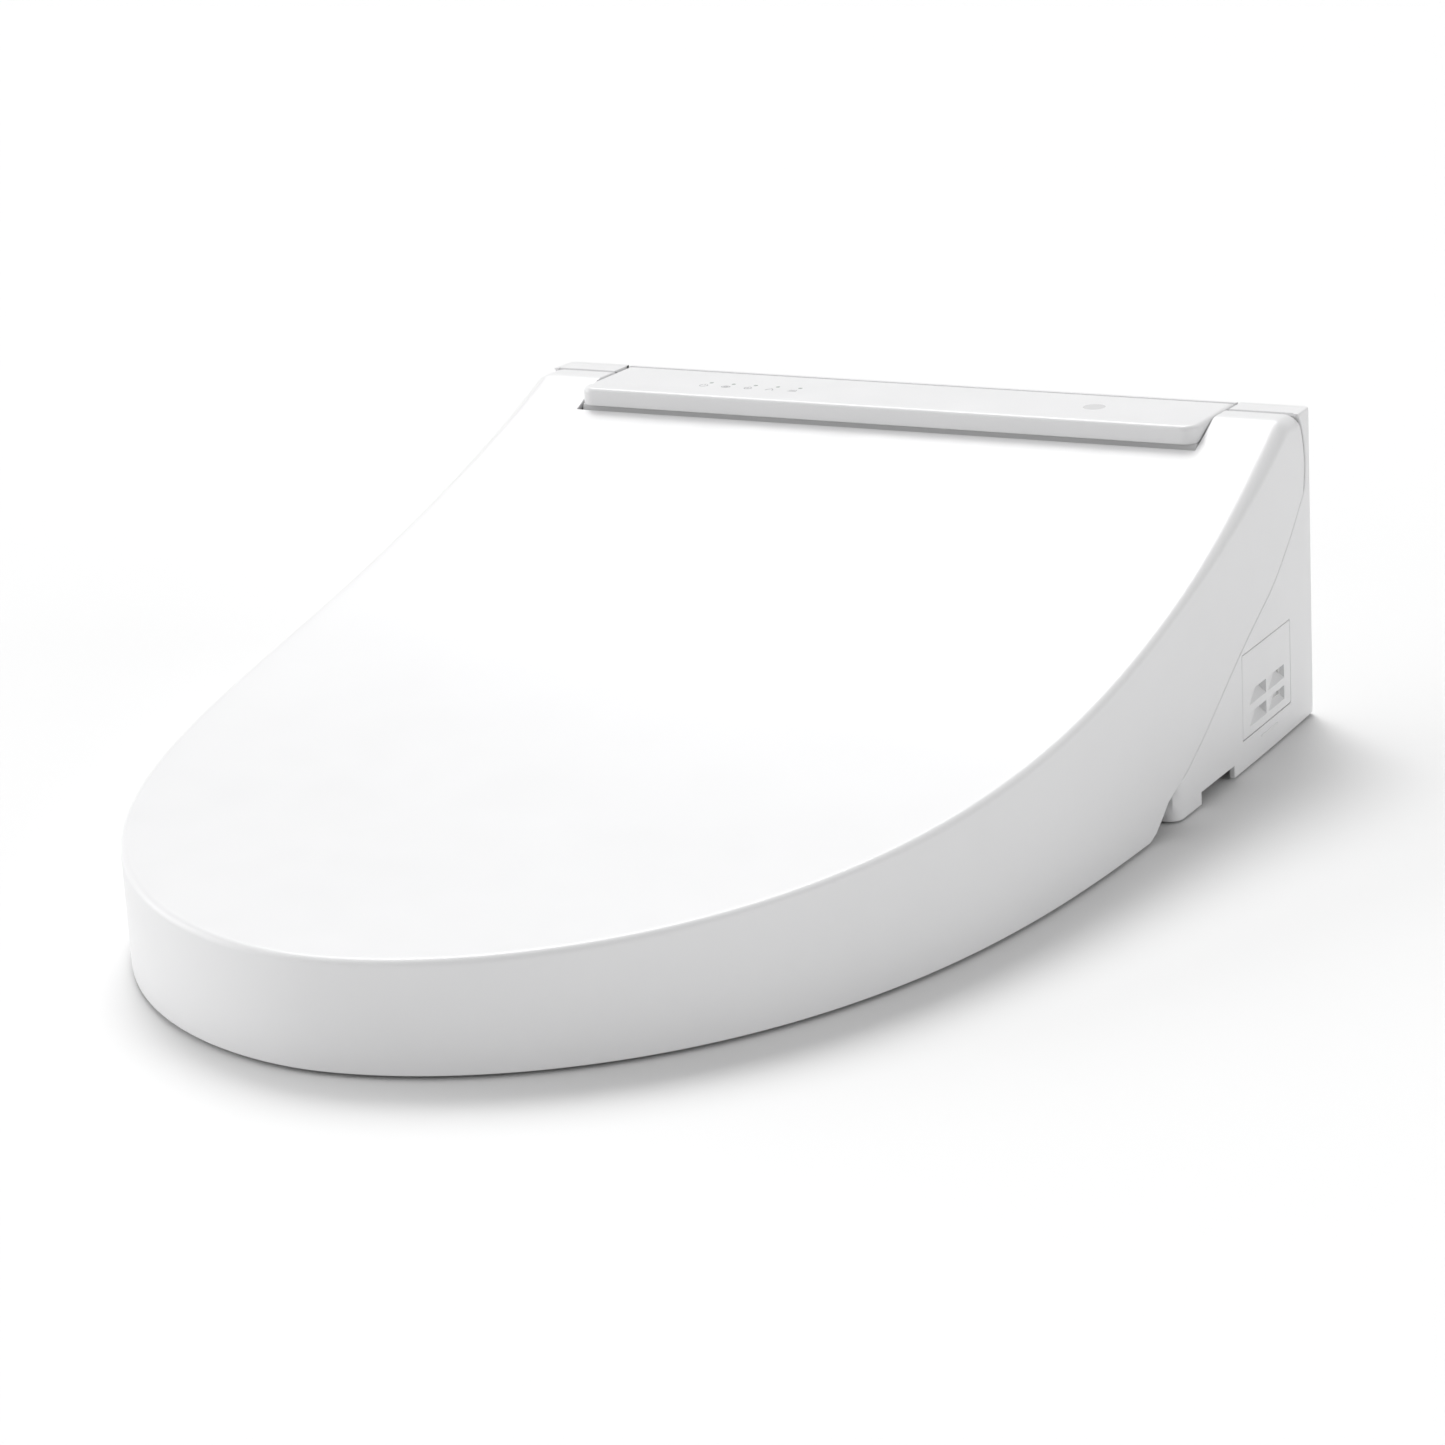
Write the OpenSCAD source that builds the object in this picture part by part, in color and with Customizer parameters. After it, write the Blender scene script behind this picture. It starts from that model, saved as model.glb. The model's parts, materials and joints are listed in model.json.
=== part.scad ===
// Electric bidet seat for an elongated bowl, in millimetres.
// Origin: midway between the two bowl bolts, on the bowl's rim. The front points to -Y, +Z is up.

/* [Overall] */
// Width across the widest part of the lid
overall_w = 383; // [350:1:470]
// Length from the rear face to the front of the lid
overall_l = 530; // [470:1:640]
// Height of the housing above the rim of the bowl
overall_h = 140; // [122:1:175]
// Distance from the bowl bolts back to the rear face
rear_y = 55; // [50:1:70]
// Height of the lid at its front edge
lid_front_h = 45.3; // [40:0.1:60]

/* [Shells] */
// Wall of the lid
lid_wall = 3; // [2:0.1:4]
// Wall of the housing's covers
cover_wall = 2.5; // [2:0.1:3.2]
// Joint between the lid and the fixed covers
joint_gap = 0.8; // [0.6:0.1:1.5]
// Half width of the housing between the seat's arms
core_hw = 154; // [145:1:156]
// Clearance between pieces that pass each other
clear = 0.5; // [0.3:0.1:0.8]

/* [Hinge] */
// Depth of the hinge axis below the top of the housing
hinge_drop = 11; // [11:0.5:14]
// Distance from the hinge axis to the rear face
hinge_back = 26; // [24:1:28]
// Radius of the hinge pins
pin_r = 4; // [3:0.1:5]
// Running clearance of the hinge pins
pin_fit = 0.06; // [0.02:0.01:0.1]
// Radius of the hinge hubs
hub_r = 7.5; // [7:0.1:7.7]

/* [Seat] */
// Width of the seat's rim on each side of its opening
seat_rim = 66; // [55:1:72]
// Height of the seat's top at the front
seat_front_h = 36; // [32:1:38]
// Rise of the seat's top towards the rear, over its length
seat_rise = 20; // [14:1:22]
// Height of the seat's underside above the rim of the bowl
seat_base_z = 10; // [8:0.5:12]
// Thickness of the seat's arms
arm_t = 14; // [11:0.5:15]

/* [Bowl fixing] */
// Distance between the bowl bolts
bolt_spacing = 140; // [120:1:160]
// Width of the bolt slots
slot_w = 12; // [8:0.5:14]
// Length of the bolt slots
slot_l = 30; // [14:1:40]

/* [Spray wand] */
// Radius of the wand
wand_r = 8; // [6.5:0.1:9]
// Sliding clearance round the wand
wand_fit = 0.3; // [0.1:0.05:0.5]
// Length of the wand and its tip
wand_l = 145; // [140:1:152]
// Angle of the wand below the horizontal
wand_angle = 25; // [23:0.5:27]
// Module of the rack and its pinion
rack_module = 1; // [0.9:0.05:1.1]

/* [Deodoriser and button] */
// Width of the deodoriser vent cover
vent_w = 60; // [50:1:64]
// Height of the deodoriser vent cover
vent_h = 37.5; // [34:0.5:38]
// Travel of the release button
button_travel = 3; // [2:0.5:4]

/* [Hidden] */
$fn = 48;
eps = 0.01;

// Places worked out from the driving sizes
half_w = overall_w / 2;
usual_h = 140;
h_scale = overall_h / usual_h;
front_y = rear_y - overall_l;
hinge_y = rear_y - hinge_back;
hinge_z = overall_h - hinge_drop;
widest_y = front_y + 367;
rear_hw = half_w - 4;
profile_end_y = rear_y - 30;
skirt_z = 1.5;
foot_z = 0.9;
side_front_y = rear_y - 166.3;
core_front_y = rear_y - 159;
// Inner edge of the lid's arms and of the side covers
arm_inner = core_hw + 1.4;

// ---- helpers ----

module box(lo, hi) {
    translate(lo) cube(hi - lo);
}

// A (y, z) outline swept along x from x0 to x1
module sweep_x(x0, x1) {
    translate([x0, 0, 0]) rotate([90, 0, 90]) linear_extrude(x1 - x0) children();
}

module rod_x(x0, x1, r, y, z) {
    translate([x0, y, z]) rotate([0, 90, 0]) cylinder(h = x1 - x0, r = r);
}

module rod_y(y0, y1, r, x, z) {
    translate([x, y0, z]) rotate([-90, 0, 0]) cylinder(h = y1 - y0, r = r);
}

module rod_z(z0, z1, r, x, y) {
    translate([x, y, z0]) cylinder(h = z1 - z0, r = r);
}

module both_sides() {
    children();
    mirror([1, 0, 0]) children();
}

function reverse(list) = [for (i = [len(list) - 1 : -1 : 0]) list[i]];
function mirrored(list) = [for (p = reverse(list)) [-p[0], p[1]]];
function arc(c, r, a0, a1, n) =
    [for (i = [0 : n]) let (a = a0 + (a1 - a0) * i / n) c + r * [cos(a), sin(a)]];

// ---- outlines ----

// Right half of the plan outline, from the front tip to the rear, set in by inset
outline_p = 2.91;
outline_q = 1.85;
function plan_side(inset, last_y) =
    let (w = half_w - inset, tip = front_y + inset, wr = rear_hw - inset)
    concat(
        [for (i = [30 : -1 : 0])
            let (u = sin(3 * i)) [w * pow(1 - pow(u, outline_p), 1 / outline_q),
                                  widest_y - u * (widest_y - tip)]],
        [for (i = [1 : 4])
            let (t = i / 4) [w - (w - wr) * t * t, widest_y + t * (last_y - widest_y)]]
    );
function plan_outline(inset, last_y) =
    concat(plan_side(inset, last_y), mirrored(plan_side(inset, last_y)));

// Height of the lid's top at y, lowered by drop
profile_slope = 0.0516;
profile_power = 3.1;
profile_l = profile_end_y - front_y;
function lid_top(y, drop = 0) =
    let (s = max(0, min(profile_l, y - front_y)))
    lid_front_h + profile_slope * s - drop
    + (overall_h - lid_front_h - profile_slope * profile_l) * pow(s / profile_l, profile_power);

// Joint between the lid and the side covers, in (y, z), from the foot up to the top at the rear.
// It moves outwards from the lid by gap.
rear_arc_drop = 23.5;
rear_arc_c = [rear_y - 42, overall_h - rear_arc_drop];
rear_arc_r = 34.7;
rear_arc_from = -21;
function joint_slope(gap) =
    [for (p = [[-159, 18.6], [-91, 54.6], [-71, 64], [-53, 72.2], [-31, 86.5]])
        [rear_y + p[0] + 0.45 * gap, p[1] * h_scale - 0.89 * gap]];
function joint_line(gap) =
    let (r = rear_arc_r + gap)
    concat(joint_slope(gap), arc(rear_arc_c, r, rear_arc_from, asin(rear_arc_drop / r), 10));

// ---- base plate, which stays on the bowl ----
base_half_w = 84;
base_front_y = -45;
base_rear_y = rear_y - 5;
base_z0 = 1.5;
base_t = 3.5;
rail_w = 4;
rail_z0 = 8;
rail_z1 = 11.5;

module bolt_slots(z0, z1) {
    for (side = [-1, 1]) {
        for (end = [-1, 1])
            rod_z(z0, z1, slot_w / 2, side * bolt_spacing / 2 + end * (slot_l - slot_w) / 2, 0);
        box([side * bolt_spacing / 2 - (slot_l - slot_w) / 2, -slot_w / 2, z0],
            [side * bolt_spacing / 2 + (slot_l - slot_w) / 2, slot_w / 2, z1]);
    }
}

// Outer half width of the base plate's deck, wide enough for the bolt slots
deck_hw = max(base_half_w, bolt_spacing / 2 + slot_l / 2 + 5) + rail_w;
flange_hw = deck_hw + 5.5;

module base_plate() {
    color("lightgrey") difference() {
        union() {
            box([-deck_hw, base_front_y, base_z0], [deck_hw, base_rear_y, base_z0 + base_t]);
            both_sides() {
                box([deck_hw - rail_w, base_front_y, base_z0], [deck_hw, base_rear_y, rail_z1]);
                box([deck_hw - rail_w, base_front_y, rail_z0], [flange_hw, base_rear_y, rail_z1]);
            }
            for (y = [base_front_y, base_rear_y - 3])
                box([-deck_hw, y, base_z0], [deck_hw, y + 3, rail_z0]);
        }
        bolt_slots(0, 10);
        box([-30, -30, 0], [30, -12, 10]);
        box([-30, 14, 0], [30, 34, 10]);
    }
}

module base_pads() {
    color("dimgray") both_sides()
        for (y = [base_front_y + 4, base_rear_y - 24])
            box([34, y, 0], [deck_hw - 6, y + 20, base_z0]);
}

// ---- chassis ----
floor_z0 = 12;
floor_z1 = 15;
tray_hw = core_hw - cover_wall - clear;
tray_front_y = core_front_y + cover_wall + clear;
tray_rear_y = rear_y - cover_wall - clear;
tray_rim_z = 34;
bay_hw = 80;
bay_front_y = core_front_y - 34;

module chassis() {
    color("whitesmoke") difference() {
        union() {
            box([-tray_hw, tray_front_y, foot_z + 1], [tray_hw, tray_rear_y, tray_rim_z]);
            box([-bay_hw + cover_wall + clear, bay_front_y + cover_wall + clear, 3],
                [bay_hw - cover_wall - clear, tray_front_y + eps, 5.5]);
            both_sides() side_ledge();
        }
        box([-tray_hw + cover_wall, tray_front_y + cover_wall, floor_z1],
            [tray_hw - cover_wall, tray_rear_y - cover_wall, tray_rim_z + 1]);
        // Pocket below the floor, open to the rear for the base plate
        box([-tray_hw + cover_wall, tray_front_y + cover_wall, 0],
            [tray_hw - cover_wall, tray_rear_y + 1, floor_z0]);
        // Way through to the nozzle bay
        box([-bay_hw + 6, tray_front_y - 1, 5.5], [bay_hw - 6, tray_front_y + cover_wall + 1, 60]);
        box([-bay_hw + 6, tray_front_y - 1, 5.4], [bay_hw - 6, tray_front_y + 26, floor_z0 + 4]);
        // Ways for the deodoriser duct and the water inlet
        both_sides() box([tray_hw - 4, duct_y0 - clear, duct_z0 - clear],
                         [tray_hw + 1, duct_y1 + clear, tray_rim_z + 1]);
        box([-tray_hw - 1, inlet_y - 9, floor_z1 + 2], [-tray_hw + 4, inlet_y + 9, tray_rim_z + 1]);
        box([tray_hw - 4, button_y0 - 1, 2], [tray_hw + 1, button_mid_y + 1, button_step_z]);
        rod_y(gland_y0 - 1, rear_y, gland_neck_r + 2.5 + clear, gland_x, gland_z);
    }
    color("whitesmoke") both_sides() rail_hook();
}

// Ledge under each side cover, which the cover screws to
ledge_z0 = 8;
ledge_z1 = 11;
screw_r = 1.8;
screw_head_r = 3.2;
screw_x = core_hw + 14;
screw_y = [rear_y - 125, rear_y - 45];
module side_ledge() {
    difference() {
        box([tray_hw - eps, side_front_y + 6, ledge_z0], [ledge_hw, tray_rear_y, ledge_z1]);
        for (y = screw_y) rod_z(ledge_z0 - 1, ledge_z1 + 1, screw_r + 0.05, screw_x, y);
        box([core_hw + 0.5, button_y0 - 2, 0], [ledge_hw + 1, button_y1 + 2, 12]);
        rod_z(0, 20, inlet_r + 9, -inlet_x, inlet_y);
    }
}
ledge_hw = rear_hw - cover_wall - 1.5;

// Hook that holds the chassis down on the base plate's rail
module rail_hook() {
    lip_z1 = rail_z0 - clear;
    web_x = flange_hw + clear;
    box([web_x, base_front_y - 2, lip_z1 - 2], [web_x + 3.5, base_rear_y, floor_z0]);
    box([deck_hw + clear, base_front_y - 2, lip_z1 - 2], [web_x + 3.5, base_rear_y, lip_z1]);
}

// ---- covers ----
panel_t = 8;
panel_nose_r = hinge_back - 1.2;
core_top_z = overall_h - panel_t;
core_slope_z = 52 * h_scale;

module core_profile(inset) {
    polygon([
        [core_front_y + inset, -1], [core_front_y + inset, core_slope_z - 0.6 * inset],
        [rear_y - 52, core_top_z - 14 - 0.6 * inset], [rear_y - 47, core_top_z - inset],
        [rear_y - inset, core_top_z - inset], [rear_y - inset, -1]
    ]);
}

module housing_cover() {
    color("white") difference() {
        sweep_x(-core_hw, core_hw) core_profile(0);
        sweep_x(-core_hw + cover_wall, core_hw - cover_wall) core_profile(cover_wall);
        box([-core_hw - 1, core_front_y - 1, -2], [core_hw + 1, rear_y + 1, cover_z0]);
        // Way through to the nozzle bay
        box([-bay_hw + 5, core_front_y - 1, 0],
            [bay_hw - 5, core_front_y + 4, bay_top_z - cover_wall - 0.2]);
        // Pin holes and room for the dampers
        rod_x(-core_hw - 1, core_hw + 1, pin_r + 0.02, hinge_y, hinge_z);
        rod_x(-core_hw + cover_wall, core_hw - cover_wall, damper_r + 0.3, hinge_y, hinge_z);
        // Duct of the deodoriser, on the right
        box([core_hw - 4, duct_y0 - clear, 0], [core_hw + 1, duct_y1 + clear, duct_z1 + clear]);
        // Ways for the water line and the drain, on the left
        box([-core_hw - 1, inlet_y - 12, 0], [-core_hw + 4, inlet_y + 12, 44]);
        rod_x(-core_hw - 1, -core_hw + 4, drain_r + 1, drain_y, drain_z);
        rod_y(rear_y - 6, rear_y + 1, gland_neck_r + 0.05, gland_x, gland_z);
    }
}
cover_z0 = 18;

bay_top_z = 48;
module nozzle_bay_profile(inset) {
    polygon([
        [core_front_y + 1, 2], [bay_front_y + inset, 2], [bay_front_y + inset, 26 - 0.4 * inset],
        [bay_front_y + 4, 30 - inset], [core_front_y + 1, bay_top_z - inset]
    ]);
}

module nozzle_bay_cover() {
    color("white") difference() {
        intersection() {
            sweep_x(-bay_hw, bay_hw) nozzle_bay_profile(0);
            box([-bay_hw, bay_front_y, 3], [bay_hw, core_front_y - 0.1, 60]);
        }
        sweep_x(-bay_hw + cover_wall, bay_hw - cover_wall) nozzle_bay_profile(cover_wall);
        on_wand() {
            translate([0, 0, -20]) cylinder(h = 60, r = port_r);
            translate([0, -rack_w / 2 - clear, -20])
                cube([pitch_x + rack_module + clear, rack_w + 2 * clear, 60]);
        }
        box([flap_x0 - clear, bay_front_y - 1, flap_z0 - clear],
            [flap_x1 + clear, bay_front_y + cover_wall + 1, flap_z1 + clear]);
        rod_x(flap_x0 - 4, flap_x1 + 4, flap_pin_r + 0.06, flap_y, flap_axis_z);
    }
}

// The top panel's nose follows a circle round the hinge, so that the lid's edge clears it
module panel_profile(inset) {
    nose = panel_nose_r - inset;
    edge_r = 3;
    a_top = asin((hinge_drop - inset - edge_r) / (nose - edge_r));
    edge_c = [hinge_y - (nose - edge_r) * cos(a_top), overall_h - inset - edge_r];
    polygon(concat(
        arc([hinge_y, hinge_z], nose, 180 - asin((hinge_drop - panel_t) / nose), 180 - a_top, 6),
        arc(edge_c, edge_r, 180 - a_top, 90, 6),
        [[rear_y - inset, overall_h - inset], [rear_y - inset, core_top_z]]
    ));
}

panel_corner_r = 7;
module panel_plan(inset) {
    w = core_hw - inset;
    y0 = hinge_y - panel_nose_r + inset;
    r = panel_corner_r - inset;
    polygon(concat(
        arc([w - r, y0 + r], r, 0, -90, 6),
        arc([-w + r, y0 + r], r, -90, -180, 6),
        [[-w, rear_y - inset], [w, rear_y - inset]]
    ));
}

module panel_solid(inset) {
    intersection() {
        sweep_x(-core_hw, core_hw) panel_profile(inset);
        translate([0, 0, core_top_z - 1]) linear_extrude(panel_t + 2) panel_plan(inset);
    }
}

lens_pitch = 11.6;
lens_x0 = -97;
lens_y = rear_y - 25;
lens_r = 1;
window_x = 96;
module control_panel() {
    color("white") difference() {
        panel_solid(0);
        panel_solid(cover_wall);
        for (i = [0 : 4])
            rod_z(core_top_z, overall_h + 1, lens_r + 0.05, lens_x0 + i * lens_pitch, lens_y);
        rod_z(core_top_z, overall_h + 1, 5.05, window_x, lens_y);
        rod_x(-core_hw - 1, core_hw + 1, pin_r + 0.3, hinge_y, hinge_z);
    }
}

module indicator_lenses() {
    color("palegreen") for (i = [0 : 4])
        rod_z(overall_h - cover_wall - 1.5, overall_h, lens_r, lens_x0 + i * lens_pitch, lens_y);
}

module receiver_window() {
    color("darkslategray") rod_z(overall_h - cover_wall - 2, overall_h, 5, window_x, lens_y);
}

// ---- side covers ----
side_wall = 2.5;
notch_z = 6.3;
function side_points(inset) = concat(
    [[side_front_y + inset, -2], [side_front_y + inset, 15.4 * h_scale - joint_gap - 1.1 * inset]],
    joint_line(joint_gap + inset),
    [[rear_y - inset, overall_h - inset], [rear_y - inset, -2]]);

module side_solid(inset) {
    intersection() {
        translate([0, 0, foot_z - inset]) linear_extrude(overall_h) polygon(plan_outline(inset, rear_y));
        sweep_x(arm_inner - inset * 2, half_w + 1) polygon(side_points(inset));
    }
}

// Shell that both side covers share
module side_shell() {
    difference() {
        side_solid(0);
        side_solid(side_wall);
        box([0, -300, -1], [half_w + 1, rear_y + 1, foot_z]);
        box([0, rear_y - 140, 0], [half_w + 1, rear_y - 102, notch_z]);
    }
}

vent_y0 = rear_y - 91.4;
vent_y1 = vent_y0 + vent_w;
vent_z0 = 14.3;
vent_z1 = vent_z0 + vent_h;
button_y0 = rear_y - 74;
button_mid_y = rear_y - 57.5;
button_y1 = rear_y - 45;
button_z1 = 12.2;
button_step_z = 6.7;

module side_cover_right() {
    color("white") difference() {
        side_shell();
        box([half_w - 20, vent_y0 - clear, vent_z0 - clear],
            [half_w + 1, vent_y1 + clear, vent_z1 + clear]);
        box([half_w - 20, button_y0 - clear, 0], [half_w + 1, button_mid_y + clear, button_z1 + clear]);
        box([half_w - 20, button_mid_y - clear, button_step_z - clear],
            [half_w + 1, button_y1 + clear, button_z1 + clear]);
    }
}

module side_cover_left() {
    color("white") difference() {
        mirror([1, 0, 0]) side_shell();
        rod_x(-half_w - 1, -half_w + 20, drain_r + 0.4, drain_y, drain_z);
    }
}

module case_screws() {
    color("silver") both_sides() for (y = screw_y) {
        rod_z(ledge_z0 - 2, ledge_z0, screw_head_r, screw_x, y);
        rod_z(ledge_z0 - 1, ledge_z1 - 0.2, screw_r, screw_x, y);
    }
}

// ---- hinge ----
hub_x0 = core_hw + 4;
hub_x1 = hub_x0 + arm_t;
ear_x0 = hub_x1 + 0.6;
ear_x1 = ear_x0 + 5;
damper_r = 7.4;

module hinge_pin() {
    rod_x(core_hw - 30, ear_x1 + 1.5, pin_r, hinge_y, hinge_z);
}

module hinge_pin_right() {
    color("silver") hinge_pin();
}

module hinge_pin_left() {
    color("silver") mirror([1, 0, 0]) hinge_pin();
}

module damper() {
    difference() {
        union() {
            rod_x(core_hw - 46, core_hw - 3, damper_r, hinge_y, hinge_z);
            box([core_hw - 40, hinge_y - 6, hinge_z - 14], [core_hw - 9, hinge_y + 6, hinge_z - 3]);
        }
        rod_x(core_hw - 30.2, core_hw, pin_r + pin_fit, hinge_y, hinge_z);
    }
}

module seat_damper() {
    color("slategray") mirror([1, 0, 0]) damper();
}

module lid_damper() {
    color("slategray") damper();
}

// ---- lid ----
function lid_side_points(drop) = concat(
    [[front_y - 1, skirt_z - 5 * drop], [front_y - 1, lid_top(front_y, drop)]],
    [for (i = [0 : 20]) let (y = front_y + profile_l * i / 20) [y, lid_top(y, drop)]],
    reverse(joint_line(-2 * drop)),
    [[rear_y - 175, 13 - 5 * drop], [rear_y - 186, 5 - 5 * drop], [rear_y - 192, skirt_z - 5 * drop]]);

module lid_blank(inset) {
    intersection() {
        translate([0, 0, -30]) linear_extrude(overall_h + 40) polygon(plan_outline(inset, rear_y));
        sweep_x(-half_w - 1, half_w + 1) polygon(lid_side_points(0));
    }
}

module lid_shell() {
    color("white") difference() {
        lid_blank(0);
        intersection() {
            translate([0, 0, -30]) linear_extrude(overall_h + 40)
                polygon(plan_outline(lid_wall, rear_y + 10));
            sweep_x(-half_w, half_w) polygon(concat(
                [for (i = [0 : 20]) let (y = front_y + profile_l * i / 20) [y, lid_top(y, lid_wall)]],
                [[rear_y + 1, overall_h - lid_wall], [rear_y + 1, -20], [front_y, -20]]));
        }
        rod_x(-arm_inner, arm_inner, panel_nose_r + joint_gap, hinge_y, hinge_z);
        box([-arm_inner, hinge_y - panel_nose_r + 1, 0], [arm_inner, rear_y, overall_h + 1]);
    }
}

module lid_ear() {
    difference() {
        union() {
            rod_x(ear_x0, ear_x1, hub_r - 0.4, hinge_y, hinge_z);
            box([ear_x0, profile_end_y, hinge_z], [ear_x1, hinge_y + 6, overall_h - lid_wall]);
        }
        rod_x(ear_x0 - 1, ear_x1 + 1, pin_r + pin_fit, hinge_y, hinge_z);
    }
}

module lid_ears() {
    color("gainsboro") both_sides() lid_ear();
}

lid_pad_y = [front_y + 34, rear_y - 270];
lid_pad_x = [44, half_w - 44];
module lid_pads() {
    color("lightgrey") both_sides() for (i = [0, 1])
        intersection() {
            rod_z(seat_top(lid_pad_y[i]) + 0.3, 100, 5, lid_pad_x[i], lid_pad_y[i]);
            sweep_x(0, half_w) polygon(concat(
                [for (k = [0 : 20]) let (y = front_y + profile_l * k / 20) [y, lid_top(y, lid_wall)]],
                [[profile_end_y, 0], [front_y, 0]]));
        }
}

// ---- seat ----
seat_inset = 11;
seat_rear_y = min(core_front_y, side_front_y) - 3;
function seat_top(y) = seat_front_h + seat_rise * (y - front_y) / (seat_rear_y - front_y);
ring_hw = half_w - seat_inset;
opening_hw = ring_hw - seat_rim;
opening_front_y = front_y + seat_inset + seat_rim;
opening_rear_y = seat_rear_y - 42;

// Opening in the seat, a rounded egg, grown by grow
module seat_opening(grow) {
    c = (opening_front_y + opening_rear_y) / 2;
    h = (opening_rear_y - opening_front_y) / 2 + grow;
    w = opening_hw + grow;
    n = 2.35;
    polygon([for (i = [0 : 47]) let (a = 7.5 * i)
        [w * sign(cos(a)) * pow(abs(cos(a)), 2 / n), c + h * sign(sin(a)) * pow(abs(sin(a)), 2 / n)]]);
}

module seat_plan(inset) {
    difference() {
        polygon(plan_outline(seat_inset + inset, rear_y));
        translate([-half_w, seat_rear_y - inset]) square([overall_w, 300]);
        seat_opening(inset);
    }
}

// Space over the nozzle bay that the seat keeps clear
module bay_room(grow) {
    sweep_x(-bay_hw - 3 - grow, bay_hw + 3 + grow) polygon([
        [opening_rear_y - 30, -1], [opening_rear_y - 30, 32.5 + grow], [bay_front_y + 4, 32.5 + grow],
        [core_front_y + 4, bay_top_z + 4.6 + grow], [core_front_y + 4, -1]]);
}

module seat_ring(inset, z0, drop) {
    intersection() {
        translate([0, 0, z0]) linear_extrude(80) seat_plan(inset);
        sweep_x(-half_w, half_w) polygon([
            [front_y, 0], [front_y, seat_top(front_y) - drop],
            [seat_rear_y + 1, seat_top(seat_rear_y + 1) - drop], [seat_rear_y + 1, 0]]);
    }
}

arm_root_y = rear_y - 190;
module arm_profile() {
    polygon([
        [arm_root_y, seat_base_z + 3], [seat_rear_y - 4, seat_base_z + 3],
        [core_front_y, 26 * h_scale],
        [rear_y - 75, 70 * h_scale], [hinge_y + 4, hinge_z - hub_r - 2], [hinge_y + 3, hinge_z],
        [hinge_y - 3, hinge_z + 4], [hinge_y - 12, hinge_z], [rear_y - 95, 90 * h_scale],
        [seat_rear_y - 2, seat_top(seat_rear_y) + 1], [arm_root_y, seat_top(arm_root_y) - 1]
    ]);
}

module seat_arm() {
    sweep_x(hub_x0, hub_x1) arm_profile();
    rod_x(hub_x0, hub_x1, hub_r, hinge_y, hinge_z);
}

seat_skin = 3;
bush_wall = 1.2;
module seat_top_shell() {
    color("whitesmoke") difference() {
        union() {
            difference() {
                seat_ring(0, seat_base_z, 0);
                difference() {
                    seat_ring(seat_skin, seat_base_z - 1, seat_skin);
                    bay_room(seat_skin);
                }
            }
            both_sides() seat_arm();
        }
        bay_room(0);
        rod_x(-half_w, half_w, pin_r + bush_wall, hinge_y, hinge_z);
    }
}

module seat_bottom() {
    color("gainsboro") difference() {
        intersection() {
            translate([0, 0, seat_base_z]) linear_extrude(2.5) seat_plan(seat_skin + 0.2);
            box([-half_w, front_y, 0], [half_w, seat_rear_y, 60]);
        }
        bay_room(seat_skin + 0.2);
    }
}

module seat_heater() {
    color("orange") intersection() {
        difference() {
            translate([0, 0, seat_base_z]) linear_extrude(80) seat_plan(seat_skin + 12);
            bay_room(seat_skin + 4);
            both_sides() box([hub_x0 - 2, arm_root_y - 2, 0], [half_w, 0, overall_h]);
        }
        sweep_x(-half_w, half_w) polygon([
            [front_y, seat_top(front_y) - 4.4], [front_y, seat_top(front_y) - 3.2],
            [seat_rear_y, seat_top(seat_rear_y) - 3.2], [seat_rear_y, seat_top(seat_rear_y) - 4.4]]);
    }
}

bumper_y = [front_y + 46, rear_y - 200];
bumper_x = [64, half_w - 42];
module seat_bumpers() {
    color("dimgray") both_sides() for (i = [0, 1])
        difference() {
            rod_z(0, seat_base_z, 9, bumper_x[i], bumper_y[i]);
            rod_z(-1, 1.5, 3, bumper_x[i], bumper_y[i]);
        }
}

module seat_bushes() {
    color("ivory") both_sides() difference() {
        rod_x(hub_x0, hub_x1, pin_r + bush_wall, hinge_y, hinge_z);
        rod_x(hub_x0 - 1, hub_x1 + 1, pin_r + pin_fit, hinge_y, hinge_z);
    }
}

// ---- deodoriser ----
duct_y0 = vent_y0 + 8;
duct_y1 = vent_y1 - 8;
duct_z0 = vent_z0 + 5;
duct_z1 = vent_z1 - 4;
face_x = plan_side(0, rear_y)[32][0];
cover_t = 2.4;
tray_x0 = core_hw + 6;

louvre_y = [vent_y0 + 7.5, vent_y0 + 30.5];
louvre_z = [vent_z0 + 4, vent_z0 + 13.6];
louvre_l = 21;
louvre_h = 6.2;
louvre_d = 4.4;
louvre_deepest = 0.55;

// Scoop that deepens towards the rear to one deep point, where it breaks through as the air slot
module louvre(y, z) {
    x1 = face_x + 1;
    deep_x = face_x - louvre_d;
    intersection() {
        translate([0, 0, z]) linear_extrude(louvre_h)
            polygon([[x1, y], [face_x, y], [deep_x, y + louvre_l], [x1, y + louvre_l]]);
        translate([0, y + louvre_l, 0]) rotate([90, 0, 0]) linear_extrude(louvre_l)
            polygon([[x1, z], [face_x, z], [deep_x, z + louvre_deepest * louvre_h],
                     [face_x, z + louvre_h], [x1, z + louvre_h]]);
    }
}

module vent_cover() {
    color("white") difference() {
        intersection() {
            box([face_x - cover_t - 1, vent_y0, vent_z0], [half_w + 1, vent_y1, vent_z1]);
            linear_extrude(overall_h) polygon(plan_outline(0.1, rear_y));
        }
        box([0, vent_y0 - 1, vent_z0 + vent_h / 2 + 8], [face_x - cover_t, vent_y1 + 1, vent_z1 + 1]);
        for (y = louvre_y)
            for (z = louvre_z) louvre(y, z);
    }
}

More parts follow.
